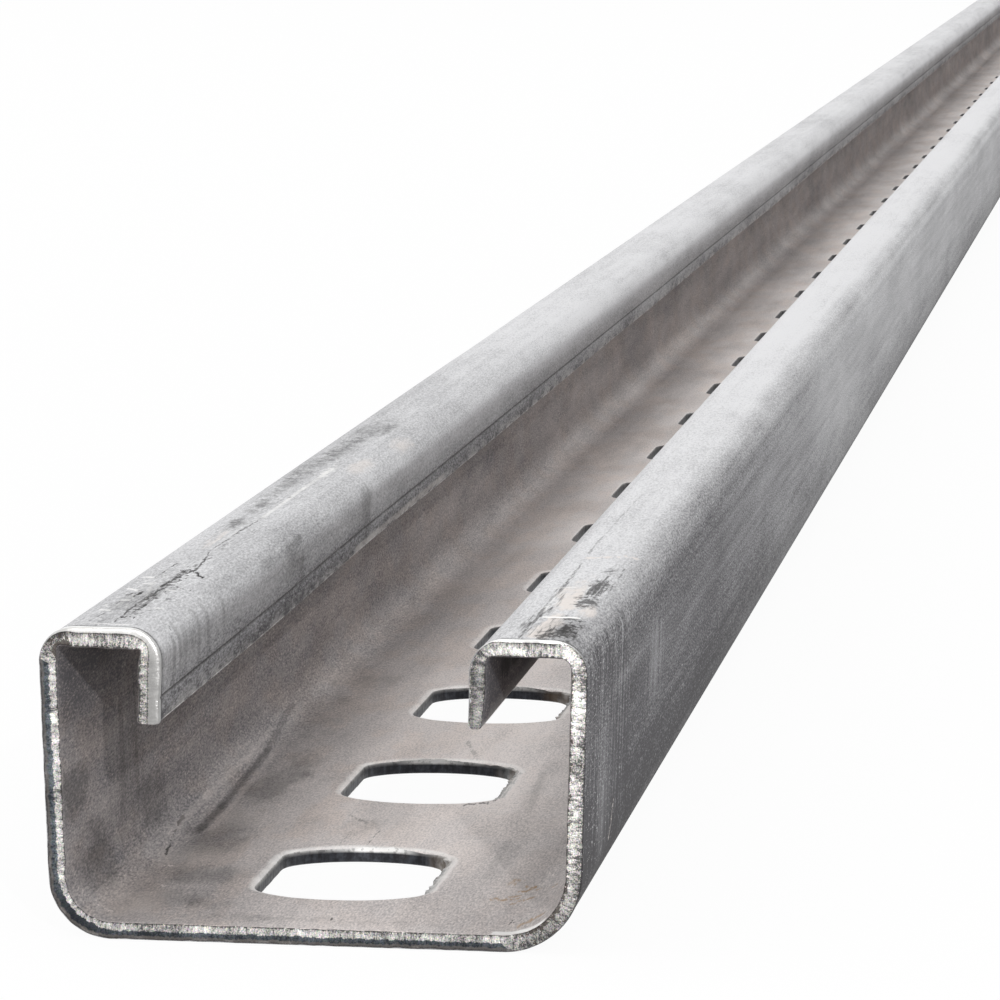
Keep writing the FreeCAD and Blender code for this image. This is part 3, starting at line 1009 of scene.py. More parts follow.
OUTSIDE_PATCHES = (
    ((-15.5, 26.0), (0.8, 26.0, 1.5), "long", 0.46, 0.4, "grime", 0.6),
    ((-15.4, 30.0), (0.8, 24.0, 1.5), "ticks", 0.46, 0.3, "grime", 0.8),
    ((-15.3, 60.0), (0.6, 36.0, 1.5), "ticks", 0.4, 0.5, "grime", 0.5),
    ((-14.9, 26.0), (1.4, 24.0, 1.5), "cross", 0.42, 0.4, "grime", 0.5),
    ((-16.8, 26.0), (1.8, 30.0, 1.5), "ticks", 0.36, 0.5, "bare_bright", 0.6),
    ((-17.0, 22.0), (1.4, 24.0, 1.5), "cross", 0.42, 0.6, "grime", 0.3),
    ((-16.8, 18.0), (1.7, 26.0, 1.5), "soft", 0.48, 0.6, "grime", 0.28),
    ((-16.8, 88.5), (0.9, 5.0, 1.0), "cross", 0.55, 0.9, "grime", 0.65),
    ((-17.0, 107.0), (0.9, 8.0, 1.0), "cross", 0.53, 1.0, "grime", 0.6),
    ((-17.4, 128.0), (0.9, 15.0, 1.0), "cross", 0.52, 1.0, "grime", 0.5),
    ((-17.5, 150.0), (1.0, 15.0, 1.0), "cross", 0.54, 1.0, "grime", 0.5),
    ((-16.9, 170.0), (1.0, 14.0, 1.0), "cross", 0.55, 1.0, "grime", 0.55),
    ((-16.9, 193.0), (1.2, 14.0, 1.0), "cross", 0.54, 1.0, "grime", 0.5),
    ((-15.3, 197.0), (0.6, 8.0, 1.0), "cross", 0.56, 1.0, "grime", 0.55),
    ((-15.3, 144.0), (0.5, 8.0, 1.0), "ticks", 0.54, 1.0, "bare_bright", 0.5),
    ((-13.3, 155.0, 23.2), (0.8, 8.0, 1.0), "soft", 0.6, 1.0, "cream", 0.5),
    ((-12.5, 184.0, 22.8), (0.8, 7.0, 1.0), "soft", 0.6, 1.0, "cream", 0.6),
    ((-11.5, 142.0, 19.9), (1.0, 5.0, 2.5), "upright", 0.58, 1.0, "grime", 0.4),
    ((-16.7, 75.0), (0.7, 8.0, 1.0), "long", 0.5, 0.7, "cream", 0.45),
    ((-11.6, 82.0, 21.6), (0.9, 14.0, 1.8), "soft", 0.55, 0.5, "grime", 0.35),
    ((-11.6, 86.0, 20.4), (0.9, 5.0, 2.4), "soft", 0.68, 1.0, "grime", 0.15),
    ((-11.6, 18.0, 20.6), (0.8, 22.0, 2.4), "upright", 0.48, 0.7, "grime", 0.4),
    ((-11.5, 150.0, 20.5), (0.8, 50.0, 2.5), "soft", 0.4, 1.0, "grime", 0.25),
    ((16.5, 8.0), (0.9, 10.0, 1.5), "soft", 0.62, 0.5, "cream", 0.9),
    ((16.6, 36.0), (1.2, 12.0, 1.5), "soft", 0.58, 0.6, "cream", 0.9),
    ((18.2, 24.0), (0.8, 4.5, 1.5), "soft", 0.56, 0.6, "cream", 0.8),
    ((17.8, 8.0, 23.2), (1.4, 9.0, 1.6), "soft", 0.62, 1.0, "grime", 0.3),
    ((16.9, 3.5), (1.3, 4.5, 1.6), "cross", 0.47, 0.4, "grime", 0.8),
    ((17.9, 9.0, 23.2), (1.3, 7.5, 1.6), "cross", 0.49, 0.4, "grime", 0.85),
    ((17.6, 8.0, 23.2), (1.6, 9.0, 1.6), "long", 0.48, 0.4, "grime", 0.6),
    ((17.7, 7.0, 23.2), (1.5, 8.0, 1.6), "ticks", 0.46, 0.4, "grime", 0.7),
    ((17.6, 17.0, 23.2), (1.0, 3.5, 1.6), "cross", 0.48, 0.4, "grime", 0.8),
    ((17.8, 30.5), (1.0, 5.0, 1.5), "cross", 0.54, 0.5, "grime", 0.8),
    ((17.9, 43.0), (0.7, 8.0, 1.5), "long", 0.52, 0.3, "grime", 0.7),
    ((17.9, 43.0), (0.9, 9.0, 1.5), "cross", 0.52, 0.4, "grime", 0.7),
    ((17.9, 56.0), (0.7, 3.0, 1.5), "cross", 0.5, 0.5, "grime", 0.7),
    ((15.2, 22.0), (0.7, 26.0, 1.5), "long", 0.5, 0.4, "grime", 0.6),
    ((20.4, 20.0, 9.5), (1.5, 9.0, 5.0), "upright", 0.56, 1.0, "zinc_pale", 0.12),
    ((20.4, 72.0, 14.5), (1.5, 10.0, 3.0), "upright", 0.5, 1.0, "zinc_pale", 0.2),
    ((20.4, 30.0, 3.0), (1.5, 26.0, 2.5), "upright", 0.55, 0.8, "grime", 0.5),
)
INSIDE_STROKES = (
    ("grime", 0.42, (-15.2, 53.5, 1.3), 0.42, (-15.3, 69.3, 1.3)),
    ("grime", 0.35, (-15.2, 55.0, 1.3), 0.26, (-15.3, 69.3, 1.3)),
    ("grime", 0.42, (-15.3, 69.3, 1.3), 0.38, (-16.1, 107.7, 1.6)),
    ("grime", 0.3, (-15.3, 72.0, 1.3), 0.2, (-16.1, 106.0, 1.6)),
    ("grime", 0.35, (-16.1, 107.7, 1.6), 0.3, (-17.3, 135.6, 2.4)),
    ("grime", 0.35, (-15.9, 53.0, 1.4), 0.34, (-15.1, 55.0, 1.3)),
    ("grime", 0.85, (-16.8, 54.1, 2.0), 0.1, (-15.8, 37.8, 1.4)),
    ("grime", 0.8, (-16.9, 56.5, 2.0), 0.16, (-16.7, 53.0, 1.9)),
    ("inside_pale", 0.22, (-16.7, 48.3, 1.9), 0.34, (-16.8, 71.6, 2.0), 0.34, (-16.8, 97.6, 1.9), 0.3,
     (-17.1, 117.9, 2.2)),
    ("inside_pale", 0.2, (-14.4, 56.0), 0.26, (-14.6, 72.0), 0.24, (-15.4, 106.0, 1.35)),
    ("grime", 0.5, (-17.1, 25.9, 2.2), 0.06, (-17.3, 16.2, 2.4)),
    ("inside_pale", 0.9, (-16.8, 5.4, 1.9), 0.07, (-15.4, 5.5, 1.3)),
    ("inside_pale", 1.0, (-15.1, 32.5, 1.3), 0.06, (-14.5, 32.4)),
    ("inside_pale", 0.9, (-13.8, 21.0), 0.07, (-13.5, 20.5)),
    ("grime", 0.5, (-4.3, 67.1), 0.1, (-2.3, 62.3)),
    ("grime", 0.4, (0.4, 121.0), 0.14, (2.7, 107.0)),
    ("rust", 0.72, (11.9, 19.5), 0.08, (12.9, 18.9), 0.07, (14.0, 20.0)),
    ("rust", 0.64, (13.1, 20.6), 0.06, (14.0, 21.6)),
    ("rust", 0.72, (13.7, 17.2), 0.07, (15.1, 21.2, 1.28)),
    ("rust", 0.8, (13.7, 23.5), 0.09, (14.7, 26.6), 0.09, (13.9, 27.5)),
    ("rust", 0.72, (14.9, 25.6, 1.26), 0.06, (16.5, 25.7, 1.67)),
    ("rust", 0.64, (15.4, 4.8, 1.33), 0.14, (16.2, 7.0, 1.55), 0.14, (17.0, 7.8, 1.98)),
    ("grime", 1.0, (14.5, 6.5), 0.06, (14.6, 8.7)),
    ("grime", 0.9, (14.8, 7.0), 0.05, (14.9, 8.6)),
    ("grime", 0.8, (15.1, 7.4, 1.27), 0.04, (15.2, 9.0, 1.28)),
    # Painted highlight: a bright line along the cut edge of the right web bend.
    ("bare_bright", 0.9, (13.8, 1.0), 0.16, (15.7, 1.2, 1.39)),
    ("bare_bright", 1.0, (15.7, 1.2, 1.39), 0.18, (17.6, 0.8, 2.35)),
    ("grime", 0.8, (1.0, 6.4), 0.07, (1.2, 5.4)),
    ("grime", 0.16, (9.0, 99.0), 0.34, (10.1, 74.0)),
    ("grime", 0.15, (10.1, 52.0), 0.36, (10.4, 35.0)),
    ("grime", 0.4, (-3.0, 56.0), 0.06, (-3.1, 49.0)),
    ("grime", 0.6, (-0.8, 57.0), 0.06, (-0.85, 48.5)),
    ("grime", 0.6, (7.0, 99.0), 0.18, (7.05, 83.0)),
    ("grime", 0.7, (7.05, 83.0), 0.16, (6.3, 78.0), 0.1, (4.4, 76.0)),
    ("inside_pale", 0.7, (5.8, 106.5), 0.1, (7.4, 99.5), 0.12, (7.6, 80.0)),
    ("grime", 0.7, (6.95, 40.0), 0.07, (6.9, 24.0)),
    ("inside_pale", 0.8, (5.3, 47.3), 0.09, (7.2, 40.5)),
    ("inside_pale", 0.7, (7.2, 40.5), 0.12, (7.2, 22.5)),
    ("inside_pale", 0.8, (14.2, 40.0), 0.06, (15.9, 31.0, 1.5)),
    ("inside_pale", 0.7, (15.9, 31.0, 1.5), 0.05, (16.3, 27.0, 1.6)),
)
INSIDE_PATCHES = (
    # Painted shadow: dark patches on the inner left wall, under the flange and the lip.
    ((-18.6, 6.0, 10.3), (1.5, 7.0, 1.6), "soft", 0.62, 0.8, "grime", 0.55),
    ((-18.2, 14.0, 4.2), (2.0, 8.0, 2.4), "soft", 0.58, 0.9, "grime", 0.5),
    ((-18.1, 46.0, 4.2), (2.0, 9.0, 2.0), "soft", 0.58, 0.9, "grime", 0.5),
    ((-18.6, 34.0, 9.0), (1.5, 9.0, 7.0), "upright", 0.5, 1.0, "grime", 0.45),
    ((-18.8, 60.0, 12.0), (1.5, 20.0, 5.0), "soft", 0.45, 1.0, "grime", 0.35),
    ((-11.3, 14.0, 1.3), (2.2, 5.0, 1.5), "soft", 0.6, 1.0, "grime", 0.42),
    ((-9.4, 11.0, 1.3), (2.4, 3.0, 1.5), "soft", 0.52, 1.0, "grime", 0.35),
    ((-11.4, 28.0, 1.3), (2.6, 5.0, 1.5), "soft", 0.58, 1.0, "grime", 0.4),
    ((-12.6, 49.0, 1.4), (2.0, 10.0, 1.5), "soft", 0.58, 1.0, "grime", 0.42),
    ((-12.4, 84.0, 1.4), (2.4, 20.0, 1.5), "soft", 0.52, 0.8, "grime", 0.45),
    ((-13.6, 150.0, 1.6), (3.0, 40.0, 1.5), "soft", 0.45, 1.0, "grime", 0.35),
    ((-14.4, 12.0, 1.4), (2.6, 9.0, 1.5), "soft", 0.56, 0.7, "cream", 0.35),
    ((-13.4, 38.0, 1.4), (2.6, 7.0, 1.5), "soft", 0.52, 0.7, "cream", 0.35),
    ((-12.4, 66.0, 1.4), (2.4, 8.0, 1.5), "soft", 0.5, 0.8, "cream", 0.3),
    ((-2.0, 5.0), (12.0, 2.4, 1.0), "soft", 0.44, 0.8, "grime", 0.3),
    ((10.7, 43.0, 1.3), (0.7, 10.0, 1.0), "soft", 0.6, 1.0, "grime", 0.14),
    ((9.4, 90.0, 1.3), (0.8, 18.0, 1.0), "soft", 0.6, 1.0, "grime", 0.14),
    ((-1.0, 60.0), (9.0, 10.0, 1.0), "soft", 0.38, 1.0, "grime", 0.25),
    ((0.0, 92.0), (12.0, 6.0, 1.0), "soft", 0.42, 1.0, "grime", 0.25),
    ((12.6, 28.6, 1.3), (0.5, 1.6, 1.0), "long", 0.5, 0.5, "rust", 0.5),
    ((13.0, 30.6, 1.3), (0.5, 0.9, 1.0), "long", 0.5, 0.5, "rust", 0.5),
    ((13.3, 16.5, 20.0), (1.0, 3.5, 1.2), "upright", 0.6, 0.3, "grime", 0.7),
    ((13.3, 26.0, 20.0), (1.0, 4.5, 1.0), "soft", 0.62, 0.3, "grime", 0.7),
)


def zinc_coat_group():
    """Clouds, rolling streaks and specks of a zinc coat: a tone round 0, glints and a height."""
    tree, bench, given, out = new_group(
        "Zinc coat", ["Vector"], {"Clouds": 1.0, "Streaks": 0.5, "Speckle": 0.5},
        ["Tone", "Glints", "Height"])
    vector = given["Vector"]
    rolled = bench.stretched(vector, (1.0, 0.13, 1.0))
    broad = bench.noise(rolled, 95.0, 2.0, 0.5)
    clouds = bench.noise(rolled, 420.0, 4.0, 0.6)
    streaks = bench.noise(vector, 1100.0, 2.0, 0.6, stretch=(1.0, 0.012, 1.0))
    speckle = bench.noise(vector, 6500.0, 1.0, 0.7, stretch=(1.0, 0.16, 1.0))
    parts = [bench.times(bench.swing(value, amount), given[share])
             for value, amount, share in ((broad, 1.5, "Clouds"), (clouds, 1.1, "Clouds"),
                                          (streaks, 1.2, "Streaks"), (speckle, 1.6, "Speckle"))]
    bench.feed(out["Tone"], bench.plus(*parts))
    bench.feed(out["Glints"], bench.ramp(speckle, 0.66, 0.76))
    bench.feed(out["Height"], bench.plus(
        bench.times(clouds, 0.5), bench.times(speckle, 0.3), bench.times(streaks, 0.2)))
    return tree


def stroke_group():
    """A straight stroke between two places, ragged where the vector that it is given wanders."""
    tree, bench, given, out = new_group(
        "Stroke", ["Vector", "Start", "End"], {"Width": 0.0002}, ["Mask"])
    run = bench.vector_math("SUBTRACT", given["End"], given["Start"])
    offset = bench.vector_math("SUBTRACT", given["Vector"], given["Start"])
    share = bench.math("DIVIDE", bench.vector_math("DOT_PRODUCT", offset, run),
                       bench.vector_math("DOT_PRODUCT", run, run), clamp=True)
    nearest = bench.node("ShaderNodeVectorMath", {0: run, "Scale": share}, operation="SCALE")
    miss = bench.vector_math("SUBTRACT", offset, nearest.outputs[0])
    away = bench.math("DIVIDE", bench.vector_math("LENGTH", miss), given["Width"])
    bench.feed(out["Mask"], bench.ramp(away, 1.25, 0.6))
    return tree


def patch_group():
    """A patch round a centre, breaking up towards its border with the grain that it is given."""
    tree, bench, given, out = new_group(
        "Ragged patch", ["Vector", "Centre", "Half Size"],
        {"Grain": 0.5, "Cover": 0.5, "Softness": 0.5}, ["Mask"])
    offset = bench.vector_math("SUBTRACT", given["Vector"], given["Centre"])
    reach = bench.vector_math("LENGTH", bench.vector_math("DIVIDE", offset, given["Half Size"]))
    level = bench.plus(given["Grain"], bench.times(bench.minus(0.5, reach), 0.2))
    missing = bench.minus(1.0, given["Cover"])
    blur = bench.plus(bench.times(given["Softness"], 0.16), 0.015)
    fill = bench.ramp(level, bench.minus(missing, blur), bench.plus(missing, blur))
    bench.feed(out["Mask"], bench.times(fill, bench.ramp(reach, 1.6, 1.0)))
    return tree


def bare_steel_group():
    """Freshly cut steel: ribs across the strip, glittering grains, torn pits and a jagged edge."""
    tree, bench, given, out = new_group(
        "Bare steel", ["Vector"], {"Along": 0.0, "Across": 0.0, "Torn": 0.0},
        ["Sparkle", "Tint", "Pits", "Jagged", "Height"])
    line = bench.node("ShaderNodeCombineXYZ", {
        "X": given["Along"], "Y": bench.times(given["Across"], 0.0004)}).outputs[0]
    lumps = bench.noise(line, 260.0, 1.0, 0.5)
    ribs = bench.noise(line, 3000.0, 2.0, 0.8)
    teeth = bench.noise(line, 2600.0, 2.0, 0.7)
    blotches = bench.noise(given["Vector"], 1500.0, 2.0, 0.6)
    torn = bench.noise(given["Vector"], 2300.0, 3.0, 0.7)
    grains, tint = list(bench.noises(given["Vector"], 8800.0, 1.0, 0.8))[:2]
    # Painted highlight: the middle of the cut across the strip is lighter and both its edges darker,
    # as on a rounded face.
    ridge = bench.ramp(bench.math("ABSOLUTE", bench.minus(given["Across"], 0.36)),
                       0.0, 0.5, 0.3, -0.3)
    sparkle = bench.plus(bench.swing(lumps, 3.4), bench.swing(ribs, 4.6),
                         bench.swing(blotches, 2.0), bench.swing(grains, 3.4), ridge)
    contrast = bench.plus(bench.times(given["Torn"], 0.7), 0.7)
    sparkle = bench.plus(bench.times(sparkle, contrast), 1.0)
    bench.feed(out["Sparkle"], bench.math("MAXIMUM", sparkle, 0.2))
    bench.feed(out["Tint"], tint)
    bench.feed(out["Pits"], bench.plus(torn, bench.swing(grains, 0.25)))
    bench.feed(out["Jagged"], bench.plus(given["Across"], bench.swing(teeth, 0.42)))
    bench.feed(out["Height"], bench.plus(bench.times(ribs, 0.8), bench.times(grains, 0.4)))
    return tree


def cleared_bench(owner):
    """A bench for the emptied tree of a material or a world."""
    owner.use_nodes = True
    owner.node_tree.nodes.clear()
    return Bench(owner.node_tree)


def new_material(name):
    material = bpy.data.materials.new(name)
    bench = cleared_bench(material)
    shader = bench.node("ShaderNodeBsdfPrincipled")
    ending = bench.node("ShaderNodeOutputMaterial")
    bench.feed(ending.inputs["Surface"], shader.outputs["BSDF"])
    place = bench.node("ShaderNodeTexCoord").outputs["Object"]
    return material, bench, shader.inputs, place


def bump(bench, surface, height, distance, strength):
    made = bench.node("ShaderNodeBump", {
        "Height": height, "Distance": distance, "Strength": strength})
    bench.feed(surface["Normal"], made.outputs["Normal"])


# Grains that break up a patch: how the channel's axes are stretched, scale, detail, roughness.
GRAINS = {
    "long": ((1.0, 0.035, 1.0), 4400.0, 2.0, 0.6),
    "ticks": ((1.0, 0.3, 1.0), 2200.0, 2.0, 0.6),
    "cross": ((0.8, 0.34, 1.0), 1100.0, 3.0, 0.8),
    "soft": ((1.0, 0.2, 1.0), 420.0, 4.0, 0.65),
    "upright": ((1.0, 0.9, 0.1), 420.0, 3.0, 0.65),
}
# How far a ragged stroke wanders, the half width from which a stroke has no gaps in it, and how
# far past the channel's middle a mark still counts for a side, both in millimetres.
STROKE_SHAKE = 0.5 * MM
WIDE_STROKE = 0.2
SIDE_OVERLAP = 1


def marked(bench, groups, finish, color, place, side, marks):
    """The colour, and how rough dirt makes it, of one side under its patches and strokes.

    The side is left (-1) or right (1), or 0 for metal that has no marks.
    """
    dirt = 0.0
    if side == 0:
        return color, dirt
    strokes, patches, height = marks

    def vector_to(spot, lengthways=1.0):
        x, y, z = (*spot, height)[:3]
        return Vector((x * MM, (LOW.y + y * MM) * lengthways, z * MM))

    def lay(amount, shade):
        nonlocal color, dirt
        color = bench.mix(amount, color, getattr(finish, shade))
        if shade == "grime":
            dirt = bench.math("MAXIMUM", dirt, amount)

    grains = {name: bench.noise(place, *look, stretch=stretch)
              for name, (stretch, *look) in GRAINS.items()}
    for centre, half, grain, cover, softness, shade, strength in patches:
        if centre[0] * side + half[0] > -SIDE_OVERLAP:
            mask = bench.group(groups["patch"], vector=place, centre=vector_to(centre),
                               half_size=Vector(half) * MM, grain=grains[grain], cover=cover,
                               softness=softness)["Mask"]
            lay(bench.times(mask, strength), shade)

    drawn = bench.stretched(place, (1.0, LENGTHWAYS, 1.0))
    shift = bench.vector_math(
        "SUBTRACT", bench.noises(drawn, 2400.0, 2.0, 0.6)["Color"], (0.5, 0.5, 0.5))
    ragged = bench.vector_math("ADD", drawn, bench.stretched(shift, (STROKE_SHAKE,) * 3))
    breaks = bench.ramp(bench.noise(drawn, 1900.0, 2.0, 0.7), 0.40, 0.52, 0.1, 1.0)
    for shade, strength, start, *rest in strokes:
        if start[0] * side <= -SIDE_OVERLAP:
            continue
        for width, end in zip(rest[::2], rest[1::2]):
            mask = bench.group(groups["stroke"], start=vector_to(start, LENGTHWAYS),
                               end=vector_to(end, LENGTHWAYS), width=width * MM,
                               vector=drawn if shade == "bare_bright" else ragged)["Mask"]
            amount = bench.times(mask, strength)
            if shade == "grime" and width < WIDE_STROKE:
                amount = bench.times(amount, breaks)
            lay(amount, shade)
            start = end
    return color, dirt


def outside_zinc(finish, groups, name, side=0):
    material, bench, surface, place = new_material(name)
    x, y, z = bench.axes(place)
    from_end = bench.minus(y, LOW.y)
    on_right = bench.ramp(x, HIGH.x - 0.6 * MM, HIGH.x - 0.1 * MM)
    clouds = bench.minus(0.35, bench.times(on_right, 0.17))
    coat = bench.group(groups["coat"], vector=place, clouds=clouds, streaks=0.25, speckle=0.62)
    painted_tone = bench.painted("tone")
    handled = bench.times(on_right, bench.ramp(from_end, 46 * MM, 42 * MM))
    upright = bench.noise(place, 330.0, 4.0, 0.75, stretch=(1.0, 2.2, 0.22))
    # Painted brightening: from 80 mm to 450 mm from the near end the outside is painted paler, the
    # right wall most.
    tone_with_distance = bench.times(bench.ramp(from_end, 80 * MM, 450 * MM),
                          bench.plus(bench.times(on_right, 0.24), 0.2))
    tone = bench.plus(painted_tone, coat["Tone"],
                      bench.times(bench.swing(upright, 1.4, 0.52), handled), tone_with_distance, clamp=True)
    color = bench.mix(tone, finish.zinc_dull_and_shade, finish.zinc_pale)
    # Painted reflection: low on the outer right wall the colour darkens towards the foot.
    low_dark_reflection = bench.times(bench.ramp(x, 10 * MM, 16 * MM),
                           bench.ramp(z, 12 * MM, 2 * MM, 0.0, 0.55))
    color = bench.mix(low_dark_reflection, color, finish.grime)
    # Painted glints, partly dust: bright specks, most on the right wall near the end.
    dust_and_glints = bench.times(on_right, bench.ramp(from_end, 34 * MM, 8 * MM))
    glints = bench.times(coat["Glints"], bench.plus(bench.times(dust_and_glints, 0.4), 0.1))
    color = bench.mix(glints, color, finish.bare_bright)
    color, dirt = marked(bench, groups, finish, color, place, side,
                         (OUTSIDE_STROKES, OUTSIDE_PATCHES, FLANGE_HEIGHT))

    chips = bench.noise(place, 900.0, 3.0, 0.7, stretch=(1.0, 0.16, 1.0))
    # Painted shade: the crease along the left lip is darkened as well as cut into the metal.
    crease = bench.times(bench.painted("crease"), bench.ramp(chips, 0.3, 0.5, 0.5, 1.0))
    color = bench.mix(crease, color, finish.grime)
    rim = bench.times(bench.painted("rim"), bench.ramp(chips, 0.4, 0.6, 0.1, 0.9))
    color = bench.mix(rim, color, finish.bare_bright)
    burr = bench.painted("burr")
    # Painted shadow: the skin just behind the burr is darkened with the grime colour.
    burr_shadow = bench.times(bench.ramp(from_end, 1.9 * MM, 1.2 * MM), burr, 0.8)
    color = bench.mix(burr_shadow, color, finish.grime)
    # Painted highlight: the burr near the end is bare metal painted as bright as its leg's shine, a
    # highlight of its rounded edge.
    smeared = bench.times(bench.ramp(from_end, 0.55 * MM, 0.4 * MM), burr)
    burr_highlight_color = bench.mix(bench.painted("shine"), (0.1, 0.1, 0.1), (1.0, 1.0, 0.99))
    color = bench.mix(smeared, color, burr_highlight_color)
    bench.feed(surface["Base Color"], color)
    bench.feed(surface["Metallic"], bench.ramp(painted_tone, 0.1, 0.9, 0.25, 0.6))
    surface["Specular IOR Level"].default_value = 0.2
    bench.feed(surface["Roughness"],
               bench.math("MAXIMUM", bench.ramp(tone, 0.0, 1.0, 0.78, 0.42), dirt))
    bump(bench, surface, coat["Height"], 0.06 * MM, 0.4)
    return material


def inside_zinc(finish, groups, name, side=0):
    material, bench, surface, place = new_material(name)
    coat = bench.group(groups["coat"], vector=place, clouds=0.45, streaks=0.12, speckle=0.7)
    x, y, _ = bench.axes(place)
    from_end = bench.minus(y, LOW.y)
    # Paler from 22 mm to 50 mm in across the middle, a little darker on the right.
    tone_with_distance = bench.times(bench.ramp(from_end, 22 * MM, 50 * MM, 0.0, 0.22),
                          bench.ramp(x, -13 * MM, -4 * MM),
                          bench.ramp(x, 4 * MM, 11 * MM, 1.0, -0.3))
    # Painted brightening: the inside is painted paler from 60 mm to 400 mm from the near end.
    far_painted_brightening = bench.ramp(from_end, 60 * MM, 400 * MM, 0.0, 0.12)
    tone = bench.plus(tone_with_distance, far_painted_brightening, bench.painted("tone"), coat["Tone"], clamp=True)
    color = bench.mix(tone, finish.inside_dull_and_shade, finish.inside_pale)
    stains = bench.noise(place, 260.0, 3.0, 0.6, stretch=(1.0, 0.2, 1.0))
    stained = bench.times(bench.ramp(stains, 0.44, 0.60), 0.6,
                          bench.ramp(x, -6 * MM, 4 * MM, 1.0, 0.4))
    color = bench.mix(stained, color, (1.0, 0.94, 0.89), way="MULTIPLY")
    # Painted glints: bright specks in the scuffed zinc colour.
    color = bench.mix(bench.times(coat["Glints"], 0.5), color, finish.cream)
    color, dirt = marked(bench, groups, finish, color, place, side,
                         (INSIDE_STROKES, INSIDE_PATCHES, WEB_HEIGHT))
    rim = bench.times(bench.painted("rim"), 0.85, clamp=True)
    color = bench.mix(rim, color, finish.bare_bright)
    bench.feed(surface["Base Color"], color)
    surface["Metallic"].default_value = 0.4
    bench.feed(surface["Roughness"],
               bench.math("MAXIMUM", bench.ramp(tone, 0.0, 1.0, 0.7, 0.5), dirt))
    bump(bench, surface, coat["Height"], 0.05 * MM, 0.35)
    return material


def sawn_steel(finish, groups):
    material, bench, surface, place = new_material("Sawn steel")
    across = bench.painted("across")
    torn_share = bench.painted("torn")
    steel = bench.group(groups["bare"], vector=place, along=bench.painted("along"),
                        across=across, torn=torn_share)
    sparkle = steel["Sparkle"]
    jagged = steel["Jagged"]
    grey = bench.times(bench.painted("tone"), sparkle, clamp=True)
    color = bench.mix(grey, (0.012, 0.013, 0.014), (1.0, 0.982, 0.94))
    torn = bench.ramp(bench.minus(jagged, bench.painted("reach")), -0.03, 0.03)
    dull = bench.times(bench.painted("dark"), sparkle, clamp=True)
    color = bench.mix(torn, color, bench.mix(dull, (0.010, 0.012, 0.016), (0.80, 0.92, 1.0)))
    tinted = bench.mix(0.4, (1.0, 1.0, 1.0), bench.stretched(steel["Tint"], (2.0, 2.0, 2.0)))
    color = bench.mix(1.0, color, tinted, way="MULTIPLY")
    rolled_over = bench.times(torn, bench.ramp(jagged, 0.76, 0.84), 0.6)
    color = bench.mix(rolled_over, color, (0.14, 0.125, 0.115))
    color = bench.mix(bench.ramp(jagged, 0.93, 0.99, 0.0, 0.6), color, finish.grime)
    pit_level = bench.plus(0.18, bench.times(torn_share, 0.34),
                           bench.times(bench.ramp(across, 0.42, 0.12), torn_share, 0.2))
    pits = bench.ramp(steel["Pits"], pit_level, bench.minus(pit_level, 0.05), 0.0, 0.85)
    color = bench.mix(pits, color, (0.055, 0.045, 0.038))

    into_band = bench.minus(across, bench.painted("band"))
    # Painted shade: a dark line in the crease where the burr band begins.
    seam = bench.times(bench.ramp(into_band, -0.07, -0.01), bench.ramp(into_band, 0.05, 0.0), 0.6)
    color = bench.mix(seam, color, finish.grime)
    # Painted highlight: the burr band across the cut is painted as bright as its leg's shine.
    burr_highlight_tone = bench.times(bench.painted("shine"), bench.plus(bench.times(sparkle, 0.10), 0.90),
                            clamp=True)
    burr_highlight_color = bench.mix(burr_highlight_tone, (0.02, 0.02, 0.022), (1.0, 0.985, 0.96))
    color = bench.mix(bench.ramp(into_band, 0.02, 0.06), color, burr_highlight_color)
    color = bench.mix(bench.ramp(jagged, 0.10, 0.02, 0.0, 0.9), color, finish.grime)
    bench.feed(surface["Base Color"], color)
    surface["Metallic"].default_value = 0.75
    bench.feed(surface["Roughness"], bench.ramp(torn, 0.0, 1.0, 0.34, 0.55))
    bump(bench, surface, steel["Height"], 0.05 * MM, 0.5)
    return material


def sheared_steel(finish):
    material, bench, surface, place = new_material("Sheared steel")
    upright = bench.noise(place, 1500.0, 3.0, 0.65, stretch=(1.0, 1.0, 0.12))
    lumps = bench.noise(place, 1800.0, 3.0, 0.7, stretch=(1.0, 0.5, 1.0))
    tone = bench.times(bench.plus(upright, lumps), 0.5)
    color = bench.mix(bench.ramp(tone, 0.4, 0.7), (0.012, 0.012, 0.016), finish.bare_dark)
    browned = bench.times(bench.ramp(bench.axes(place)["X"], 1 * MM, 6 * MM),
                          bench.ramp(bench.noise(place, 250.0), 0.4, 0.6, 0.0, 0.25))
    color = bench.mix(browned, color, finish.rust)
    glint = bench.times(bench.painted("rim"), bench.ramp(lumps, 0.36, 0.5, 0.55, 1.0), clamp=True)
    color = bench.mix(glint, color, finish.bare_bright)
    bench.feed(surface["Base Color"], color)
    bench.feed(surface["Metallic"], bench.minus(0.5, bench.times(glint, 0.5)))
    bench.feed(surface["Roughness"], bench.ramp(tone, 0.3, 0.7, 0.65, 0.45))
    bump(bench, surface, tone, 0.08 * MM, 0.5)
    return material


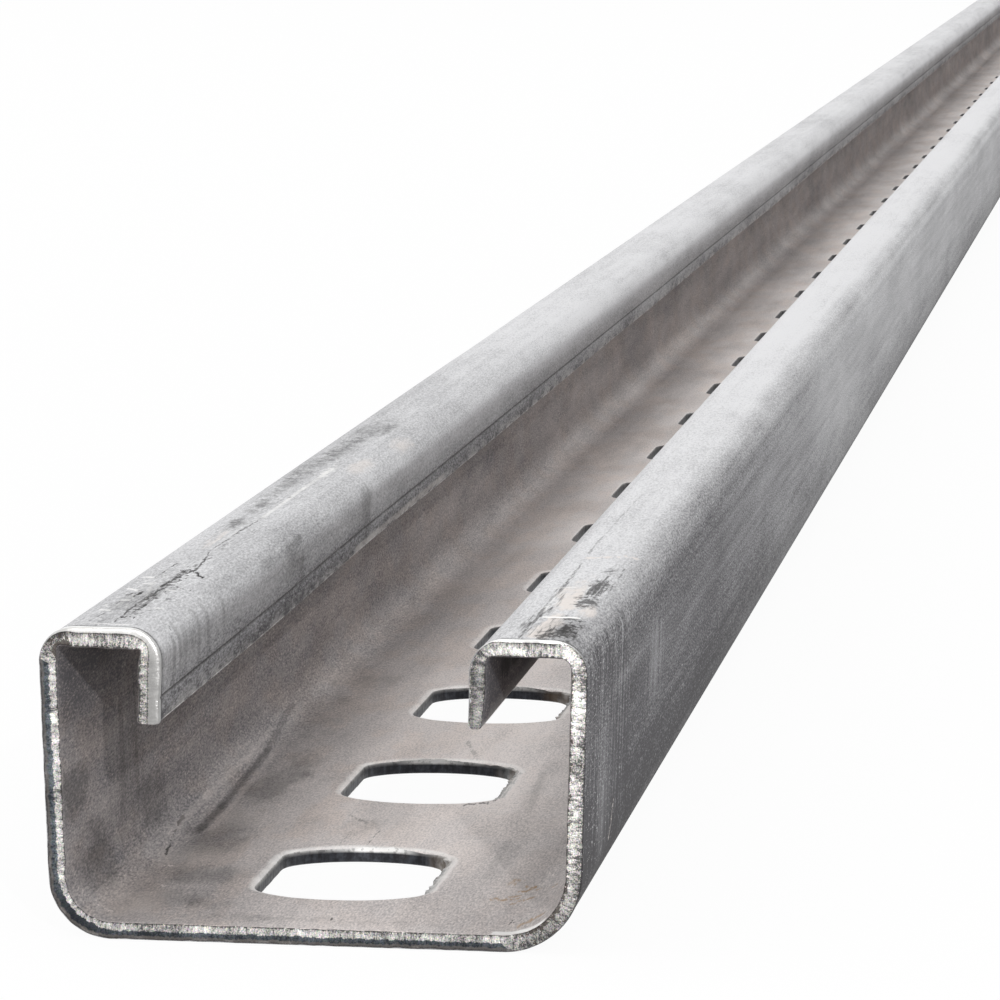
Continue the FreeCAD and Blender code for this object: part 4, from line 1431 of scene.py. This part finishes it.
class CHANNEL_OT_roll(bpy.types.Operator):
    """Roll, punch and saw the channel, and give it its galvanised finish"""

    bl_idname = "channel.roll"
    bl_label = "Roll the Channel"

    def execute(self, context):
        finish = context.scene.channel_finish
        groups = {
            "coat": zinc_coat_group(),
            "stroke": stroke_group(),
            "patch": patch_group(),
            "bare": bare_steel_group(),
        }
        materials = [
            outside_zinc(finish, groups, "Outside zinc"),
            inside_zinc(finish, groups, "Inside zinc"),
            sawn_steel(finish, groups),
            sheared_steel(finish),
            outside_zinc(finish, groups, "Marked outside zinc left", -1),
            outside_zinc(finish, groups, "Marked outside zinc right", 1),
            inside_zinc(finish, groups, "Marked inside zinc left", -1),
            inside_zinc(finish, groups, "Marked inside zinc right", 1),
        ]
        piece = rolled_channel(context.scene.channel_sizes, materials)
        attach(piece, "root")
        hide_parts(NODE)
        return {"FINISHED"}


def add_lamp(name, place, aim, size, power):
    data = bpy.data.lights.new(name, "AREA")
    data.shape = "RECTANGLE"
    data.size, data.size_y = size
    data.energy = power
    lamp = bpy.data.objects.new(name, data)
    bpy.context.scene.collection.objects.link(lamp)
    lamp.location = place
    lamp.rotation_mode = "QUATERNION"
    lamp.rotation_quaternion = (Vector(aim) - Vector(place)).to_track_quat("-Z", "Y")


def seen_directly(bench):
    """1 where a surface is seen by the camera, in a reflection or through glass."""
    path = bench.node("ShaderNodeLightPath").outputs
    seen = bench.math("MAXIMUM", path["Is Camera Ray"], path["Is Glossy Ray"])
    return bench.math("MAXIMUM", seen, path["Is Transmission Ray"])


def end_with_both(bench, ending, share, first, second):
    """End a tree with a mix of two shaders."""
    mixed = bench.node("ShaderNodeMixShader", {
        0: share, 1: first.outputs[0], 2: second.outputs[0]})
    bench.feed(bench.node(ending).inputs["Surface"], mixed.outputs[0])


# The floor lies this far under the channel, so that the two don't share a plane.
FLOOR_GAP = 0.02 * MM


class CHANNEL_OT_stage(bpy.types.Operator):
    """Set up the pale floor, the soft light and the camera"""

    bl_idname = "channel.stage"
    bl_label = "Set the Stage"

    def execute(self, context):
        scene = context.scene
        studio = scene.channel_studio

        mesh = bpy.data.meshes.new("studio_floor")
        work = bmesh.new()
        bmesh.ops.create_grid(work, x_segments=2, y_segments=2, size=studio.floor_size / 2)
        work.to_mesh(mesh)
        work.free()
        floor = bpy.data.objects.new("studio_floor", mesh)
        scene.collection.objects.link(floor)
        floor.location = (0.0, 0.0, LOW.z - FLOOR_GAP)
        material = bpy.data.materials.new("Studio floor")
        bench = cleared_bench(material)
        paper = bench.node("ShaderNodeBsdfDiffuse", {"Color": (0.95, 0.95, 0.95)})
        glow = bench.node("ShaderNodeEmission", {"Color": (1.0, 1.0, 1.0), "Strength": 1.0})
        share = bench.times(seen_directly(bench), 0.95)
        end_with_both(bench, "ShaderNodeOutputMaterial", share, paper, glow)
        mesh.materials.append(material)

        world = bpy.data.worlds.new("Studio")
        scene.world = world
        bench = cleared_bench(world)
        facing = bench.axes(bench.node("ShaderNodeTexCoord").outputs["Generated"])
        level = bench.plus(studio.soft_light, bench.times(facing["Z"], 0.15))
        level = bench.minus(level, bench.times(facing["X"], 0.15))
        soft = bench.node("ShaderNodeBackground", {"Color": (1.0, 1.0, 1.0), "Strength": level})
        white = bench.node("ShaderNodeBackground", {"Color": (1.0, 1.0, 1.0), "Strength": 1.0})
        end_with_both(bench, "ShaderNodeOutputWorld", seen_directly(bench), soft, white)

        add_lamp("overhead_lamp", (-0.7, 0.0, 2.2), (0.0, 0.0, 0.0), (2.0, 3.6), 21.0)
        add_lamp("front_lamp", (0.19, -2.3, 0.25), (0.0, LOW.y, 0.01), (0.012, 0.012), 4.4)

        camera = bpy.data.objects.new("camera", bpy.data.cameras.new("camera"))
        scene.collection.objects.link(camera)
        camera.data.lens = studio.camera_lens
        camera.data.sensor_width = 36.0
        camera.data.clip_start = 0.05
        camera.data.clip_end = 100.0
        camera.location = studio.camera_place
        sight = Vector(studio.camera_aim) - Vector(studio.camera_place)
        level_turn = sight.to_track_quat("-Z", "Y")
        camera.rotation_mode = "QUATERNION"
        camera.rotation_quaternion = level_turn @ Quaternion((0, 0, 1), studio.camera_roll)
        scene.camera = camera
        scene.view_settings.view_transform = "Standard"
        return {"FINISHED"}


class CHANNEL_PT_panel(bpy.types.Panel):
    """Sizes, colours and steps of the strut channel"""

    bl_idname = "CHANNEL_PT_panel"
    bl_label = "Slotted Strut Channel"
    bl_space_type = "VIEW_3D"
    bl_region_type = "UI"
    bl_category = "Channel"

    def draw(self, context):
        layout = self.layout
        for group in (context.scene.channel_sizes, context.scene.channel_finish,
                      context.scene.channel_studio):
            box = layout.box()
            for name in group.__annotations__:
                box.prop(group, name)
        for operator in (CHANNEL_OT_stage, CHANNEL_OT_roll):
            layout.operator(operator.bl_idname)


CLASSES = (ChannelSizes, ChannelFinish, ChannelStudio,
           CHANNEL_OT_stage, CHANNEL_OT_roll, CHANNEL_PT_panel)


def register():
    for item in CLASSES:
        bpy.utils.register_class(item)
    bpy.types.Scene.channel_sizes = PointerProperty(type=ChannelSizes)
    bpy.types.Scene.channel_finish = PointerProperty(type=ChannelFinish)
    bpy.types.Scene.channel_studio = PointerProperty(type=ChannelStudio)


def unregister():
    del bpy.types.Scene.channel_studio
    del bpy.types.Scene.channel_finish
    del bpy.types.Scene.channel_sizes
    for item in reversed(CLASSES):
        bpy.utils.unregister_class(item)


def main():
    register()
    bpy.ops.channel.stage()
    bpy.ops.channel.roll()


if __name__ == "__main__":
    main()
